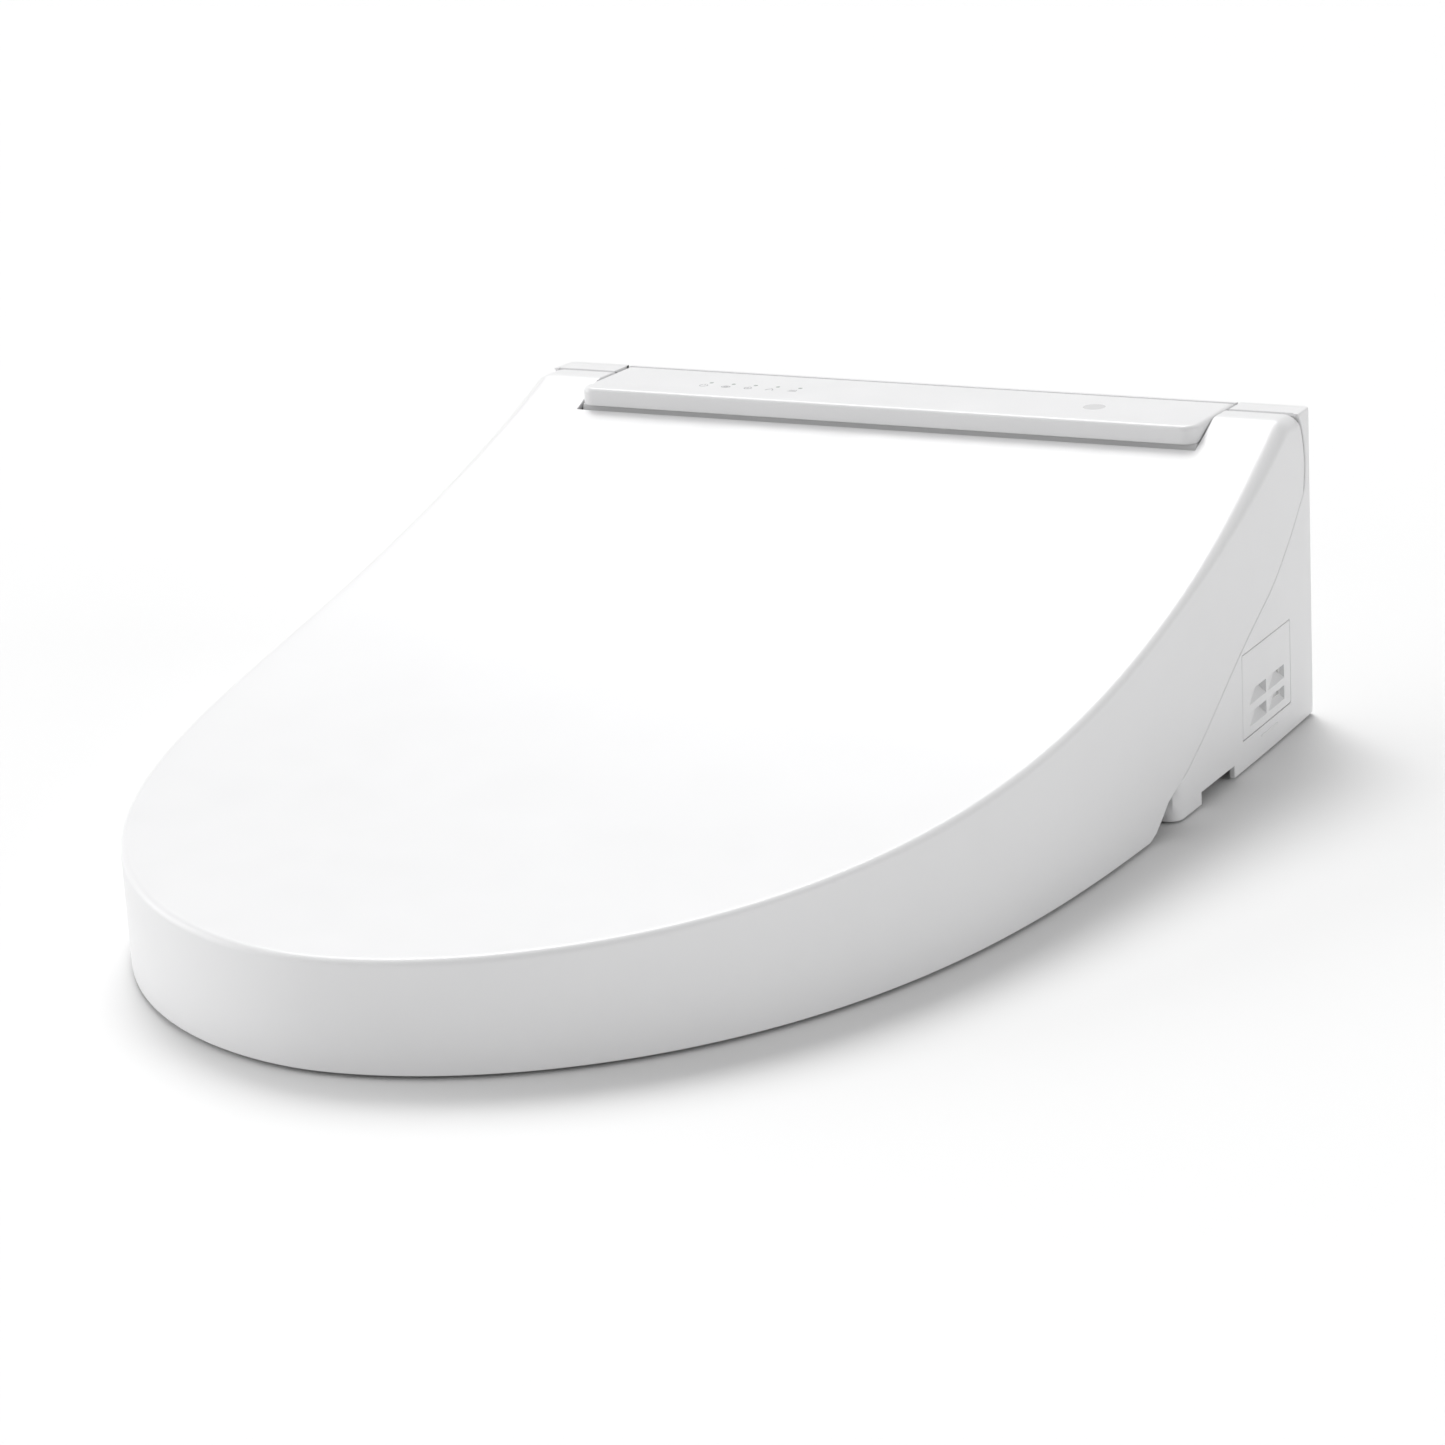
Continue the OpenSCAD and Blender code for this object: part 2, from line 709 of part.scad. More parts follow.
module cartridge_tray() {
    x1 = face_x - cover_t - 1;
    color("lightgrey") difference() {
        box([tray_x0, duct_y0, duct_z0], [x1, duct_y1, duct_z1]);
        box([tray_x0 + 1.5, duct_y0 + 1.5, duct_z0 + 1.5], [x1 + 1, duct_y1 - 1.5, duct_z1 - 1.5]);
        for (y = [duct_y0 + 6 : 8 : duct_y1 - 10])
            box([tray_x0 - 1, y, duct_z0 + 4], [tray_x0 + 2, y + 5, duct_z1 - 4]);
    }
}

module carbon_filter() {
    x0 = tray_x0 + 1.7;
    color("#333333") difference() {
        box([x0, duct_y0 + 1.7, duct_z0 + 1.7], [x0 + 12, duct_y1 - 1.7, duct_z1 - 1.7]);
        for (y = [duct_y0 + 5 : 6 : duct_y1 - 8])
            for (z = [duct_z0 + 4 : 6 : duct_z1 - 8])
                box([x0 - 1, y, z], [x0 + 13, y + 3.4, z + 3.4]);
    }
}

fan_y = (vent_y0 + vent_y1) / 2;
fan_z = 46;
fan_r = 20;
scroll_x0 = core_hw - 36;
scroll_x1 = core_hw - 8;

module deodoriser_scroll() {
    color("lightgrey") difference() {
        union() {
            rod_x(scroll_x0, scroll_x1, fan_r + 5, fan_y, fan_z);
            box([scroll_x0, duct_y0, floor_z1 + 0.5], [scroll_x1, fan_y, fan_z]);
            box([scroll_x1 - 1, duct_y0 + 2, duct_z0 + 2], [tray_x0 - clear, duct_y1 - 2, duct_z1 - 2]);
        }
        rod_x(scroll_x0 + 2, scroll_x1 - 2, fan_r + 3, fan_y, fan_z);
        box([scroll_x1 - 3, duct_y0 + 4, duct_z0 + 4], [tray_x0, duct_y1 - 4, duct_z1 - 4]);
        rod_x(scroll_x0 - 1, scroll_x0 + 3, 6, fan_y, fan_z);
        box([scroll_x0 + 2, duct_y0 + 2, floor_z1], [scroll_x1 - 2, fan_y - fan_r + 6, fan_z - 12]);
    }
}

module deodoriser_motor() {
    color("dimgray") difference() {
        rod_x(scroll_x0 - 14, scroll_x0, 12, fan_y, fan_z);
        rod_x(scroll_x0 - 8, scroll_x0 + 1, 1.55, fan_y, fan_z);
    }
}

// Impeller with its axle, on a local Z axis; height h, radius r
module impeller(h, r, axle_below) {
    blades = 15;
    blade_l = 5.5;
    cylinder(h = 1.6, r = r);
    cylinder(h = h - 4, r = 5);
    for (i = [0 : blades - 1])
        rotate([0, 0, i * 360 / blades]) translate([r - blade_l - 0.5, -0.5, 0]) cube([blade_l, 1, h]);
    translate([0, 0, h - 1.5]) difference() {
        cylinder(h = 1.5, r = r);
        translate([0, 0, -1]) cylinder(h = 4, r = r - blade_l - 1);
    }
    translate([0, 0, -axle_below]) cylinder(h = axle_below + 1, r = 1.5);
}

module deodoriser_impeller() {
    color("black") translate([scroll_x0 + 3.5, fan_y, fan_z]) rotate([0, 90, 0])
        impeller(scroll_x1 - scroll_x0 - 7, fan_r, 10);
}

// ---- release button and its latch ----
button_depth = 12;
module release_button() {
    x1 = face_x - 0.1;
    x0 = x1 - button_depth;
    color("white") difference() {
        union() {
            box([x0, button_y0, foot_z + 0.3], [x1, button_mid_y, button_z1]);
            box([x0, button_mid_y - eps, button_step_z], [x1, button_y1, button_z1]);
        }
        box([x0 - 1, button_y0 + 1.8, -1], [x1 - 1.8, button_mid_y - 2, button_z1 - 1.8]);
        box([x1 - 0.8, button_y0 + 2, button_z1 - 2.4], [x1 + 1, button_y1 - 2, button_z1 - 1.2]);
    }
}

latch_y = (button_y0 + button_mid_y) / 2;
latch_z0 = button_step_z - 3;
latch_z1 = button_step_z - 0.4;

// Bar that runs in under the floor, to the catch on the base plate's rail
module release_latch() {
    x1 = face_x - 0.1 - button_depth;
    x0 = flange_hw + clear + 3.5 + button_travel + clear;
    color("lightgrey") difference() {
        box([x0, button_y0, latch_z0], [x1, button_mid_y, latch_z1]);
        box([x0 + 8, latch_y - 4, latch_z0 - 1], [x1 - 12, latch_y + 4, latch_z1 + 1]);
    }
}

spring_turns = 9;
spring_wire_r = 0.35;
spring_r = 1.5;
module button_spring() {
    x0 = core_hw + 0.5 + spring_wire_r + 0.1;
    x1 = face_x - 2 - spring_wire_r;
    color("silver") for (i = [0 : spring_turns - 1])
        translate([x0 + (x1 - x0) * i / (spring_turns - 1), latch_y, 8.3]) rotate([0, 90, 0])
            rotate_extrude() translate([spring_r, 0]) circle(r = spring_wire_r, $fn = 16);
}

// ---- spray wand ----
port_r = wand_r + 2.8;
wand_tip_y = bay_front_y + 1;
wand_tip_z = 17.6;

// Local Z runs back and up along the wand from the tip, local -Y points up from it
module on_wand() {
    translate([0, wand_tip_y, wand_tip_z]) rotate([wand_angle - 90, 0, 0]) children();
}

rack_w = 5;
pitch_x = wand_r + 3.5;
pinion_teeth = 18;
pinion_r = rack_module * pinion_teeth / 2;
pinion_at = 38;
guide_at = [56, 138];
tip_l = 18;

module wand_guide() {
    h = wand_r + 4;
    color("lightgrey") on_wand() difference() {
        union() {
            translate([-h, -h, guide_at[0]]) cube([2 * h, 2 * h, guide_at[1] - guide_at[0]]);
            translate([-h, -h, guide_at[1] - 12]) cube([2 * h, 2 * h + 10, 8]);
            translate([-h, 3, 22]) cube([h + 8, h - 3, guide_at[0] - 21]);
        }
        translate([0, 0, -5]) cylinder(h = 200, r = wand_r + wand_fit);
        translate([5, -rack_w / 2 - 0.4, -5]) cube([h, rack_w + 0.8, 200]);
    }
}

module wand() {
    color("gainsboro") on_wand() difference() {
        translate([0, 0, tip_l]) cylinder(h = wand_l - tip_l, r = wand_r);
        translate([0, 0, tip_l - 1]) cylinder(h = wand_l, r = wand_r - 2.2);
        translate([wand_r - 2, -rack_w / 2, tip_l + 2]) cube([4, rack_w, wand_l]);
    }
}

module wand_tip() {
    color("lightgrey") on_wand() difference() {
        rotate_extrude() polygon(concat(
            [[0, 0.2], [wand_r - 2.5, 0.2]], arc([wand_r - 2.5, 2.7], 2.5, -90, 0, 5),
            [[wand_r, tip_l], [wand_r - 2.3, tip_l], [wand_r - 2.3, tip_l + 6], [0, tip_l + 6]]));
        for (z = [6, 9.5, 13])
            for (x = [-1.8, 0, 1.8])
                translate([x, 0, z]) rotate([90, 0, 0]) cylinder(h = wand_r + 1, r = 0.5);
    }
}

module wand_shield() {
    color("white") on_wand() translate([0, 0, -2.4]) {
        cylinder(h = 2.6, r = port_r - 0.4);
        translate([0, -rack_w / 2 - 0.1, 0]) cube([pitch_x + rack_module + 0.1, rack_w + 0.2, 2.6]);
    }
}

// Rack along the wand's +X side, cut for a pinion of the same module
module wand_rack() {
    m = rack_module;
    n = floor((wand_l - tip_l - 8) / (PI * m));
    half = PI * m / 4 - 0.12;
    slope = tan(20);
    color("ivory") on_wand() {
        translate([wand_r - 2, -rack_w / 2, tip_l + 3]) cube([pitch_x - 1.25 * m - wand_r + 2, rack_w,
                                                             wand_l - tip_l - 3]);
        for (i = [0 : n - 1])
            translate([pitch_x, 0, pinion_at + (i + 0.5 - 5) * PI * m])
                rotate([90, 0, 0]) linear_extrude(rack_w, center = true)
                    polygon([[-1.25 * m - eps, -half - 1.25 * m * slope], [m * 0.95, -half + m * slope],
                             [m * 0.95, half - m * slope], [-1.25 * m - eps, half + 1.25 * m * slope]]);
    }
}

// Involute gear outline, teeth centred on the +X direction
function involute(rb, t) = rb * [cos(t) + t * PI / 180 * sin(t), sin(t) - t * PI / 180 * cos(t)];
module gear_plan(m, n) {
    rp = m * n / 2;
    rb = rp * cos(20);
    t_out = sqrt(pow((rp + m * 0.95) / rb, 2) - 1) * 180 / PI;
    t_pitch = sqrt(pow(rp / rb, 2) - 1) * 180 / PI;
    at_pitch = involute(rb, t_pitch);
    turn = atan2(at_pitch[1], at_pitch[0]) + 90 / n;
    flank = [for (i = [0 : 5])
        let (p = involute(rb, t_out * i / 5), r = norm(p), a = atan2(p[1], p[0]) - turn)
        [r * cos(a), r * sin(a)]];
    root = rp - 1.25 * m;
    circle(r = root);
    for (k = [0 : n - 1]) rotate(k * 360 / n)
        polygon(concat([[root * 0.9, flank[0][1]]], flank,
                       [for (p = reverse(flank)) [p[0], -p[1]]], [[root * 0.9, -flank[0][1]]]));
}

module wand_pinion() {
    color("ivory") on_wand() translate([pitch_x + pinion_r, 0, pinion_at]) rotate([90, 0, 0]) {
        difference() {
            linear_extrude(rack_w - 0.6, center = true) rotate(180) gear_plan(rack_module, pinion_teeth);
            cylinder(h = 20, r = 1.9, center = true);
        }
        translate([0, 0, -8]) cylinder(h = 10, r = 1.9);
    }
}

module wand_motor() {
    color("silver") on_wand() translate([pitch_x + pinion_r, 0, pinion_at]) rotate([90, 0, 0])
        difference() {
            translate([0, 0, -13]) cylinder(h = 9.5, r = 10);
            translate([0, 0, -9]) cylinder(h = 9, r = 2.1);
        }
}

// ---- water ----
inlet_r = 10.48;
inlet_x = -(core_hw + 16);
inlet_y = rear_y - 22;
inlet_l = 11;
inlet_z0 = 2.4;
drain_r = 8;
drain_y = rear_y - 78;
drain_z = 28;
valve_x1 = -core_hw + cover_wall + 4;

module inlet_port() {
    color("lightgrey") difference() {
        union() {
            rod_z(inlet_z0, inlet_z0 + inlet_l, inlet_r, inlet_x, inlet_y);
            rod_z(inlet_z0 + inlet_l, 36, 12, inlet_x, inlet_y);
            box([inlet_x, inlet_y - 8, 20], [valve_x1 - 0.2, inlet_y + 8, 36]);
        }
        rod_z(inlet_z0 - 1, 24, 7.5, inlet_x, inlet_y);
        rod_x(inlet_x, valve_x1 + 1, 4, inlet_y, 28);
    }
}

module inlet_strainer() {
    color("silver") difference() {
        rod_z(inlet_z0 + 1, 22, 7.4, inlet_x, inlet_y);
        rod_z(inlet_z0, 20, 6.4, inlet_x, inlet_y);
    }
}

module shutoff_valve() {
    color("dimgray") {
        box([valve_x1, inlet_y - 12, floor_z1 + 1], [valve_x1 + 34, inlet_y + 12, 40]);
        rod_z(40, 62, 10, valve_x1 + 17, inlet_y);
    }
}

reg_y = rear_y - 60;
module pressure_regulator() {
    color("ivory") {
        box([valve_x1 + 2, reg_y - 11, floor_z1 + 1], [valve_x1 + 32, reg_y + 11, 38]);
        rod_z(38, 50, 9, valve_x1 + 17, reg_y);
    }
}

tank_lo = [-108, rear_y - 118, floor_z1 + 2];
tank_hi = [-32, rear_y - 40, 70];
module heater_tank() {
    wall = 2.5;
    color("ivory") difference() {
        union() {
            box(tank_lo, tank_hi);
            box([tank_lo[0] - 3, tank_lo[1] + 4, 48], [tank_hi[0] + 3, tank_hi[1] - 4, 54]);
        }
        box(tank_lo + wall * [1, 1, 1], tank_hi - wall * [1, 1, 1]);
        rod_y(tank_hi[1] - 5, tank_hi[1] + 1, 5.05, -50, 60);
        rod_y(tank_hi[1] - 5, tank_hi[1] + 1, 5.05, -90, 60);
    }
}

module tank_element() {
    color("silver") {
        for (x = [-90, -50]) rod_y(tank_lo[1] + 18, tank_hi[1] + 6, 5, x, 60);
        rod_x(-90, -50, 5, tank_lo[1] + 18, 60);
        for (x = [-90, -50]) translate([x, tank_lo[1] + 18, 60]) sphere(r = 5);
    }
}

div_x = -40;
div_y = core_front_y + 24;
module flow_diverter() {
    color("lightgrey") {
        rod_z(floor_z1 + 1, 30, 12, div_x, div_y - 6);
        for (a = [-60, 0, 60]) translate([div_x, div_y - 6, 23]) rotate([0, 90, a - 90])
            cylinder(h = 18, r = 3);
    }
}

module diverter_motor() {
    color("silver") rod_z(30, 42, 10, div_x, div_y - 6);
}

hose_r = 4;
module hose(points) {
    for (i = [0 : len(points) - 2]) {
        d = points[i + 1] - points[i];
        translate(points[i]) rotate([0, acos(d[2] / norm(d)), atan2(d[1], d[0])])
            cylinder(h = norm(d), r = hose_r);
    }
    for (i = [1 : len(points) - 2]) translate(points[i]) sphere(r = hose_r);
}

module water_hoses() {
    x = valve_x1 + 17;
    color("steelblue") {
        hose([[x, inlet_y - 12, 28], [x, reg_y + 11, 28]]);
        hose([[x + 15, reg_y, 28], [tank_lo[0], reg_y, 28]]);
        hose([[tank_hi[0], tank_lo[1] + 14, 40], [tank_hi[0] + 10, tank_lo[1] + 14, 40],
              [tank_hi[0] + 10, tank_lo[1] + 14, 24]]);
    }
}

module drain_valve() {
    x0 = -face_x + 0.4;
    color("lightgrey") difference() {
        union() {
            rod_x(x0, x0 + 10, drain_r, drain_y, drain_z);
            rod_x(x0 + 9, -core_hw + 8, 5, drain_y, drain_z);
        }
        box([x0 - 1, drain_y - 6, drain_z - 1], [x0 + 2, drain_y + 6, drain_z + 1]);
        rod_x(x0 + 26, x0 + 28, 5.1, drain_y, drain_z);
    }
    color("lightgrey") rod_x(x0 + 25, x0 + 29, 4, drain_y, drain_z);
}

module drain_seal() {
    x0 = -face_x + 0.4;
    color("black") translate([x0 + 27, drain_y, drain_z]) rotate([0, 90, 0])
        rotate_extrude() translate([5.05, 0]) circle(r = 0.95, $fn = 24);
}

// ---- warm-air dryer ----
dryer_x = 66;
dryer_y = rear_y - 66;
dryer_r = 24;
dryer_z0 = floor_z1 + 1;
dryer_h = 26;
duct_hw = 17;
flap_x0 = dryer_x - duct_hw + 1;
flap_x1 = dryer_x + 8;
flap_z0 = 7;
flap_z1 = 22;
heater_y1 = dryer_y - dryer_r - 6;

module dryer_scroll() {
    color("lightgrey") difference() {
        union() {
            rod_z(dryer_z0, dryer_z0 + dryer_h, dryer_r + 5, dryer_x, dryer_y);
            box([dryer_x - duct_hw, heater_y1, dryer_z0],
                [dryer_x + duct_hw, dryer_y, dryer_z0 + dryer_h]);
        }
        rod_z(dryer_z0 + 2, dryer_z0 + dryer_h - 2, dryer_r + 3, dryer_x, dryer_y);
        rod_z(dryer_z0 + 2, dryer_z0 + dryer_h + 1, 14, dryer_x, dryer_y);
        box([dryer_x - duct_hw + 2, heater_y1 - 1, dryer_z0 + 2],
            [dryer_x + duct_hw - 2, dryer_y, dryer_z0 + dryer_h - 2]);
    }
}

module dryer_impeller() {
    color("black") translate([dryer_x, dryer_y, dryer_z0 + 3.5]) impeller(dryer_h - 7, dryer_r, 1);
}

module dryer_heater() {
    color("peru") {
        for (z = [dryer_z0 + 5 : 4 : dryer_z0 + dryer_h - 5])
            rod_x(dryer_x - duct_hw + 4.5, dryer_x + duct_hw - 4.5, 1, heater_y1 + 4, z);
        for (x = [dryer_x - duct_hw + 4, dryer_x + duct_hw - 5.5])
            box([x, heater_y1 + 1, dryer_z0 + 2], [x + 1.5, heater_y1 + 7, dryer_z0 + dryer_h - 2]);
    }
}

// Duct from the heater down to the outlet flap, as a straight sloping box
module dryer_duct() {
    top = dryer_z0 + dryer_h;
    y1 = heater_y1 - 0.3;
    y0 = bay_front_y + cover_wall + 0.5;
    color("lightgrey") difference() {
        sweep_x(flap_x0 + 1, flap_x1 - 1) polygon([[y1, dryer_z0], [y1, top],
            [y0, flap_z1 + 1], [y0, flap_z0 - 1], [core_front_y + 6, dryer_z0]]);
        sweep_x(flap_x0 + 3, flap_x1 - 3) polygon([[y1 + 1, dryer_z0 + 2], [y1 + 1, top - 3],
            [y0 - 1, flap_z1 - 1.5], [y0 - 1, flap_z0 + 1], [core_front_y + 6, dryer_z0 + 2]]);
    }
}

flap_y = bay_front_y + 1.25;
flap_pin_r = 0.7;
flap_axis_z = flap_z1 - 1.2;
module dryer_flap() {
    color("white") {
        box([flap_x0, flap_y - 1, flap_z0], [flap_x1, flap_y + 1, flap_axis_z]);
        rod_x(flap_x0, flap_x1, 1.2, flap_y, flap_axis_z);
        rod_x(flap_x0 - 3, flap_x1 + 3, flap_pin_r, flap_y, flap_axis_z);
    }
}

// ---- electrics ----
board_lo = [-100, rear_y - 52, overall_h - 34];
board_hi = [100, rear_y - 6, overall_h - 32.4];
module control_board() {
    color("darkgreen") difference() {
        box(board_lo, board_hi);
        for (x = [-94, 94])
            for (y = [board_lo[1] + 6, board_hi[1] - 6])
                rod_z(board_lo[2] - 1, board_hi[2] + 1, 1.7, x, y);
    }
}

module board_parts() {
    z = board_lo[2];
    color("dimgray") {
        for (x = [-80 : 22 : 74]) box([x, board_lo[1] + 8, z - 7], [x + 14, board_lo[1] + 20, z]);
        for (x = [-70 : 26 : 60]) rod_z(z - 9, z, 5, x, board_hi[1] - 12);
        box([70, board_hi[1] - 20, z - 8], [88, board_hi[1] - 8, z]);
    }
}

module power_supply() {
    color("slategray") {
        box([30, rear_y - 30, floor_z1 + 1], [96, rear_y - 6, 56]);
        for (x = [36 : 6 : 90]) box([x, rear_y - 30, 56], [x + 2, rear_y - 6, 64]);
    }
}

gland_x = 120;
gland_z = 27;
gland_r = 3.6;
gland_neck_r = 6.5;
gland_y0 = rear_y - 14;
module cord_gland() {
    color("dimgray") difference() {
        union() {
            rod_y(gland_y0, rear_y, gland_neck_r, gland_x, gland_z);
            rod_y(gland_y0, rear_y - 6.3, gland_neck_r + 2.5, gland_x, gland_z);
        }
        rod_y(gland_y0 - 1, rear_y + 1, gland_r, gland_x, gland_z);
    }
}

// Flat ribbon cables from the board down to the power supply, the tank and the deodoriser fan
ribbon_w = 12;
ribbon_t = 1.2;
module wiring_harness() {
    z = board_lo[2];
    x_fan = scroll_x0 - 8;
    color("firebrick") {
        box([74, board_hi[1] - 8 + 0.1, 64], [74 + ribbon_w, board_hi[1] - 8 + 0.1 + ribbon_t, z]);
        box([-96, board_lo[1] + 3, 70], [-96 + ribbon_w, board_lo[1] + 3 + ribbon_t, z]);
        box([x_fan, fan_y, fan_z + 12], [x_fan + ribbon_t, fan_y + ribbon_w, 92]);
        box([94 - 6, fan_y, 92], [x_fan + ribbon_t, fan_y + ribbon_w, 92 + ribbon_t]);
        box([94 - 6, fan_y, 92], [94 - 6 + ribbon_w, board_lo[1] + 8, 92 + ribbon_t]);
        box([94 - 6, board_lo[1] + 8 - ribbon_t, 92], [94 - 6 + ribbon_w, board_lo[1] + 8, z]);
    }
}

base_plate();
base_pads();
chassis();
housing_cover();
nozzle_bay_cover();
control_panel();
indicator_lenses();
receiver_window();
side_cover_right();
side_cover_left();
case_screws();
hinge_pin_right();
hinge_pin_left();
seat_damper();
lid_damper();
lid_shell();
lid_ears();
lid_pads();
seat_top_shell();
seat_bottom();
seat_heater();
seat_bumpers();
seat_bushes();
vent_cover();
cartridge_tray();
carbon_filter();
deodoriser_scroll();
deodoriser_motor();
deodoriser_impeller();
release_button();
release_latch();
button_spring();
wand_guide();
wand();
wand_tip();
wand_shield();
wand_rack();
wand_pinion();
wand_motor();
inlet_port();
inlet_strainer();
shutoff_valve();
pressure_regulator();
heater_tank();
tank_element();
flow_diverter();
diverter_motor();
water_hoses();
drain_valve();
drain_seal();
dryer_scroll();
dryer_impeller();
dryer_heater();
dryer_duct();
dryer_flap();
control_board();
board_parts();
power_supply();
wiring_harness();
cord_gland();
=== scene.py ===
"""Electric bidet seat: finished surfaces, materials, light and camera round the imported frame."""

import json
import math

import bmesh
import bpy
import numpy as np
from mathutils import Matrix, Vector
from mathutils.geometry import delaunay_2d_cdt


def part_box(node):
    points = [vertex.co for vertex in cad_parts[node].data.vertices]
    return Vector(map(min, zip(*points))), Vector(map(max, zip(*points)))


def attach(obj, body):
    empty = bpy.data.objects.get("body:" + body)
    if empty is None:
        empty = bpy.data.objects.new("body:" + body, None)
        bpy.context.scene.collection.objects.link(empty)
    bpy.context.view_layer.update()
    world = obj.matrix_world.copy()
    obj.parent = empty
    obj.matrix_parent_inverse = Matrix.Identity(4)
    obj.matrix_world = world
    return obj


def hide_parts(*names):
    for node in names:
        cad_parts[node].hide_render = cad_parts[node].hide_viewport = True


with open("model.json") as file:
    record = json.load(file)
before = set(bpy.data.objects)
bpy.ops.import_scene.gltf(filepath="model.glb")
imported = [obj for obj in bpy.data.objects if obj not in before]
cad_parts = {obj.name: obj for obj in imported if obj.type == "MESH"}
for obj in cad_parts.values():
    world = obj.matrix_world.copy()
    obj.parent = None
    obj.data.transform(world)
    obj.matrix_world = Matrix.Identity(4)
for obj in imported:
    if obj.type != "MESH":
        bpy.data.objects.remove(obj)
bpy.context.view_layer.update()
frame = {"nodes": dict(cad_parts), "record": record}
MM = 0.001

# ---- sizes that the frame gives, in millimetres ----


def corners(node):
    """Lowest and highest corner of a CAD node at rest, in millimetres."""
    lo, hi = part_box(node)
    return np.array(lo) / MM, np.array(hi) / MM


lid_lo, lid_hi = corners("lid_shell")
core_lo, core_hi = corners("housing_cover")
panel_lo, panel_hi = corners("control_panel")
side_lo, side_hi = corners("side_cover_right")
pin_lo, pin_hi = corners("hinge_pin_right")
vent_lo, vent_hi = corners("vent_cover")
button_lo, button_hi = corners("release_button")

half_w = lid_hi[0]
WIDEST_FROM_FRONT, REAR_TAPER = 367, 4
LID_FRONT_H, LID_SLOPE, LID_POWER = 45.3, 0.0516, 3.1
front_y = lid_lo[1]
rear_y = side_hi[1]
top_z = side_hi[2]
core_hw = core_hi[0]
hinge_y, hinge_z = (pin_lo[1:] + pin_hi[1:]) / 2
widest_y = front_y + WIDEST_FROM_FRONT
rear_hw = half_w - REAR_TAPER
profile_end_y = rear_y - 30
lid_wall = 3.0
skirt_z = lid_lo[2]

# ---- outlines that the shells share ----


def half_outline(y, inset=0.0):
    """Half width of the plan outline at y, set in by inset."""
    w, tip, wr = half_w - inset, front_y + inset, rear_hw - inset
    u = np.clip((widest_y - y) / (widest_y - tip), 0, 1)
    front = w * (1 - u**2.91) ** (1 / 1.85)
    t = np.clip((y - widest_y) / (rear_y - widest_y), 0, 1)
    return np.where(y < widest_y, front, w - (w - wr) * t * t)


def lid_top(y):
    """Height of the lid's top at y."""
    run = profile_end_y - front_y
    s = np.clip(y - front_y, 0, run)
    return LID_FRONT_H + LID_SLOPE * s + (top_z - LID_FRONT_H - LID_SLOPE * run) * (s / run) ** LID_POWER


def smooth_through(points, x):
    """A smooth rising curve through points, without overshoot."""
    px, pz = np.array(points, float).T
    slope = np.diff(pz) / np.diff(px)
    tangent = np.concatenate([[slope[0]], 2 / (1 / slope[:-1] + 1 / slope[1:]), [slope[-1]]])
    k = np.clip(np.searchsorted(px, x) - 1, 0, len(px) - 2)
    h = px[k + 1] - px[k]
    t = (x - px[k]) / h
    return (
        (2 * t**3 - 3 * t**2 + 1) * pz[k] + (t**3 - 2 * t**2 + t) * h * tangent[k]
        + (3 * t**2 - 2 * t**3) * pz[k + 1] + (t**3 - t**2) * h * tangent[k + 1]
    )


ARC_DROP = 23.5
ARC_C = np.array([rear_y - 42, top_z - ARC_DROP])
ARC_R = 34.7
ARC_LOW = math.radians(-21)
JOINT = [(-192, skirt_z), (-186, 5), (-175, 13), (-159, 18.6), (-91, 54.6), (-71, 64), (-53, 72.2),
         (-31, 86.5), (-9.6, 104.06)]


def joint_z(y):
    """Height of the lid's lower edge at the side, over the side cover."""
    return np.where(y < rear_y - 192, skirt_z, smooth_through(JOINT, np.maximum(y - rear_y, -192)))


def arc_y(z, gap=0.0):
    """Rear end of the lid's arms at height z."""
    return ARC_C[0] + np.sqrt(np.maximum((ARC_R + gap) ** 2 - (z - ARC_C[1]) ** 2, 0))


# ---- mesh tools ----


def new_piece(name, body, points, faces, material, replaces=(), sharp=35):
    """One smooth-shaded piece from points in millimetres, riding on a CAD body."""
    mesh = bpy.data.meshes.new(name)
    mesh.from_pydata([tuple(p) for p in np.asarray(points) * MM], [], faces)
    mesh.validate()
    obj = bpy.data.objects.new(name, mesh)
    bpy.context.scene.collection.objects.link(obj)
    tidy_mesh(obj, sharp)
    obj.data.materials.append(material)
    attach(obj, body)
    if replaces:
        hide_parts(*replaces)
    return obj


def tidy_mesh(obj, sharp):
    """Joins doubled points, turns faces outwards and marks the sharp edges."""
    bm = bmesh.new()
    bm.from_mesh(obj.data)
    bmesh.ops.remove_doubles(bm, verts=bm.verts, dist=2e-6)
    bmesh.ops.dissolve_degenerate(bm, edges=bm.edges, dist=1e-7)
    bmesh.ops.recalc_face_normals(bm, faces=bm.faces)
    bm.to_mesh(obj.data)
    bm.free()
    obj.data.shade_smooth()
    obj.data.set_sharp_from_angle(angle=math.radians(sharp))


def grid_faces(rows, cols, first=0, keep=None):
    """Quads over a grid of points; keep(row, col) says which of them are made."""
    return [
        (first + r * cols + c, first + r * cols + c + 1, first + (r + 1) * cols + c + 1,
         first + (r + 1) * cols + c)
        for r in range(rows - 1) for c in range(cols - 1) if keep is None or keep(r, c)
    ]


def shell(outer, inner, faces):
    """Closes two matching skins into one solid with rims along their open edges."""
    n = len(outer)
    seen = {}
    for f in faces:
        for a, b in zip(f, f[1:] + f[:1]):
            seen[(a, b)] = seen.get((a, b), 0) + 1
    rims = [(a, b, n + b, n + a) for (a, b) in seen if (b, a) not in seen]
    return np.vstack([outer, inner]), faces + [tuple(n + i for i in reversed(f)) for f in faces] + [
        (r[1], r[0], r[3], r[2]) for r in rims]


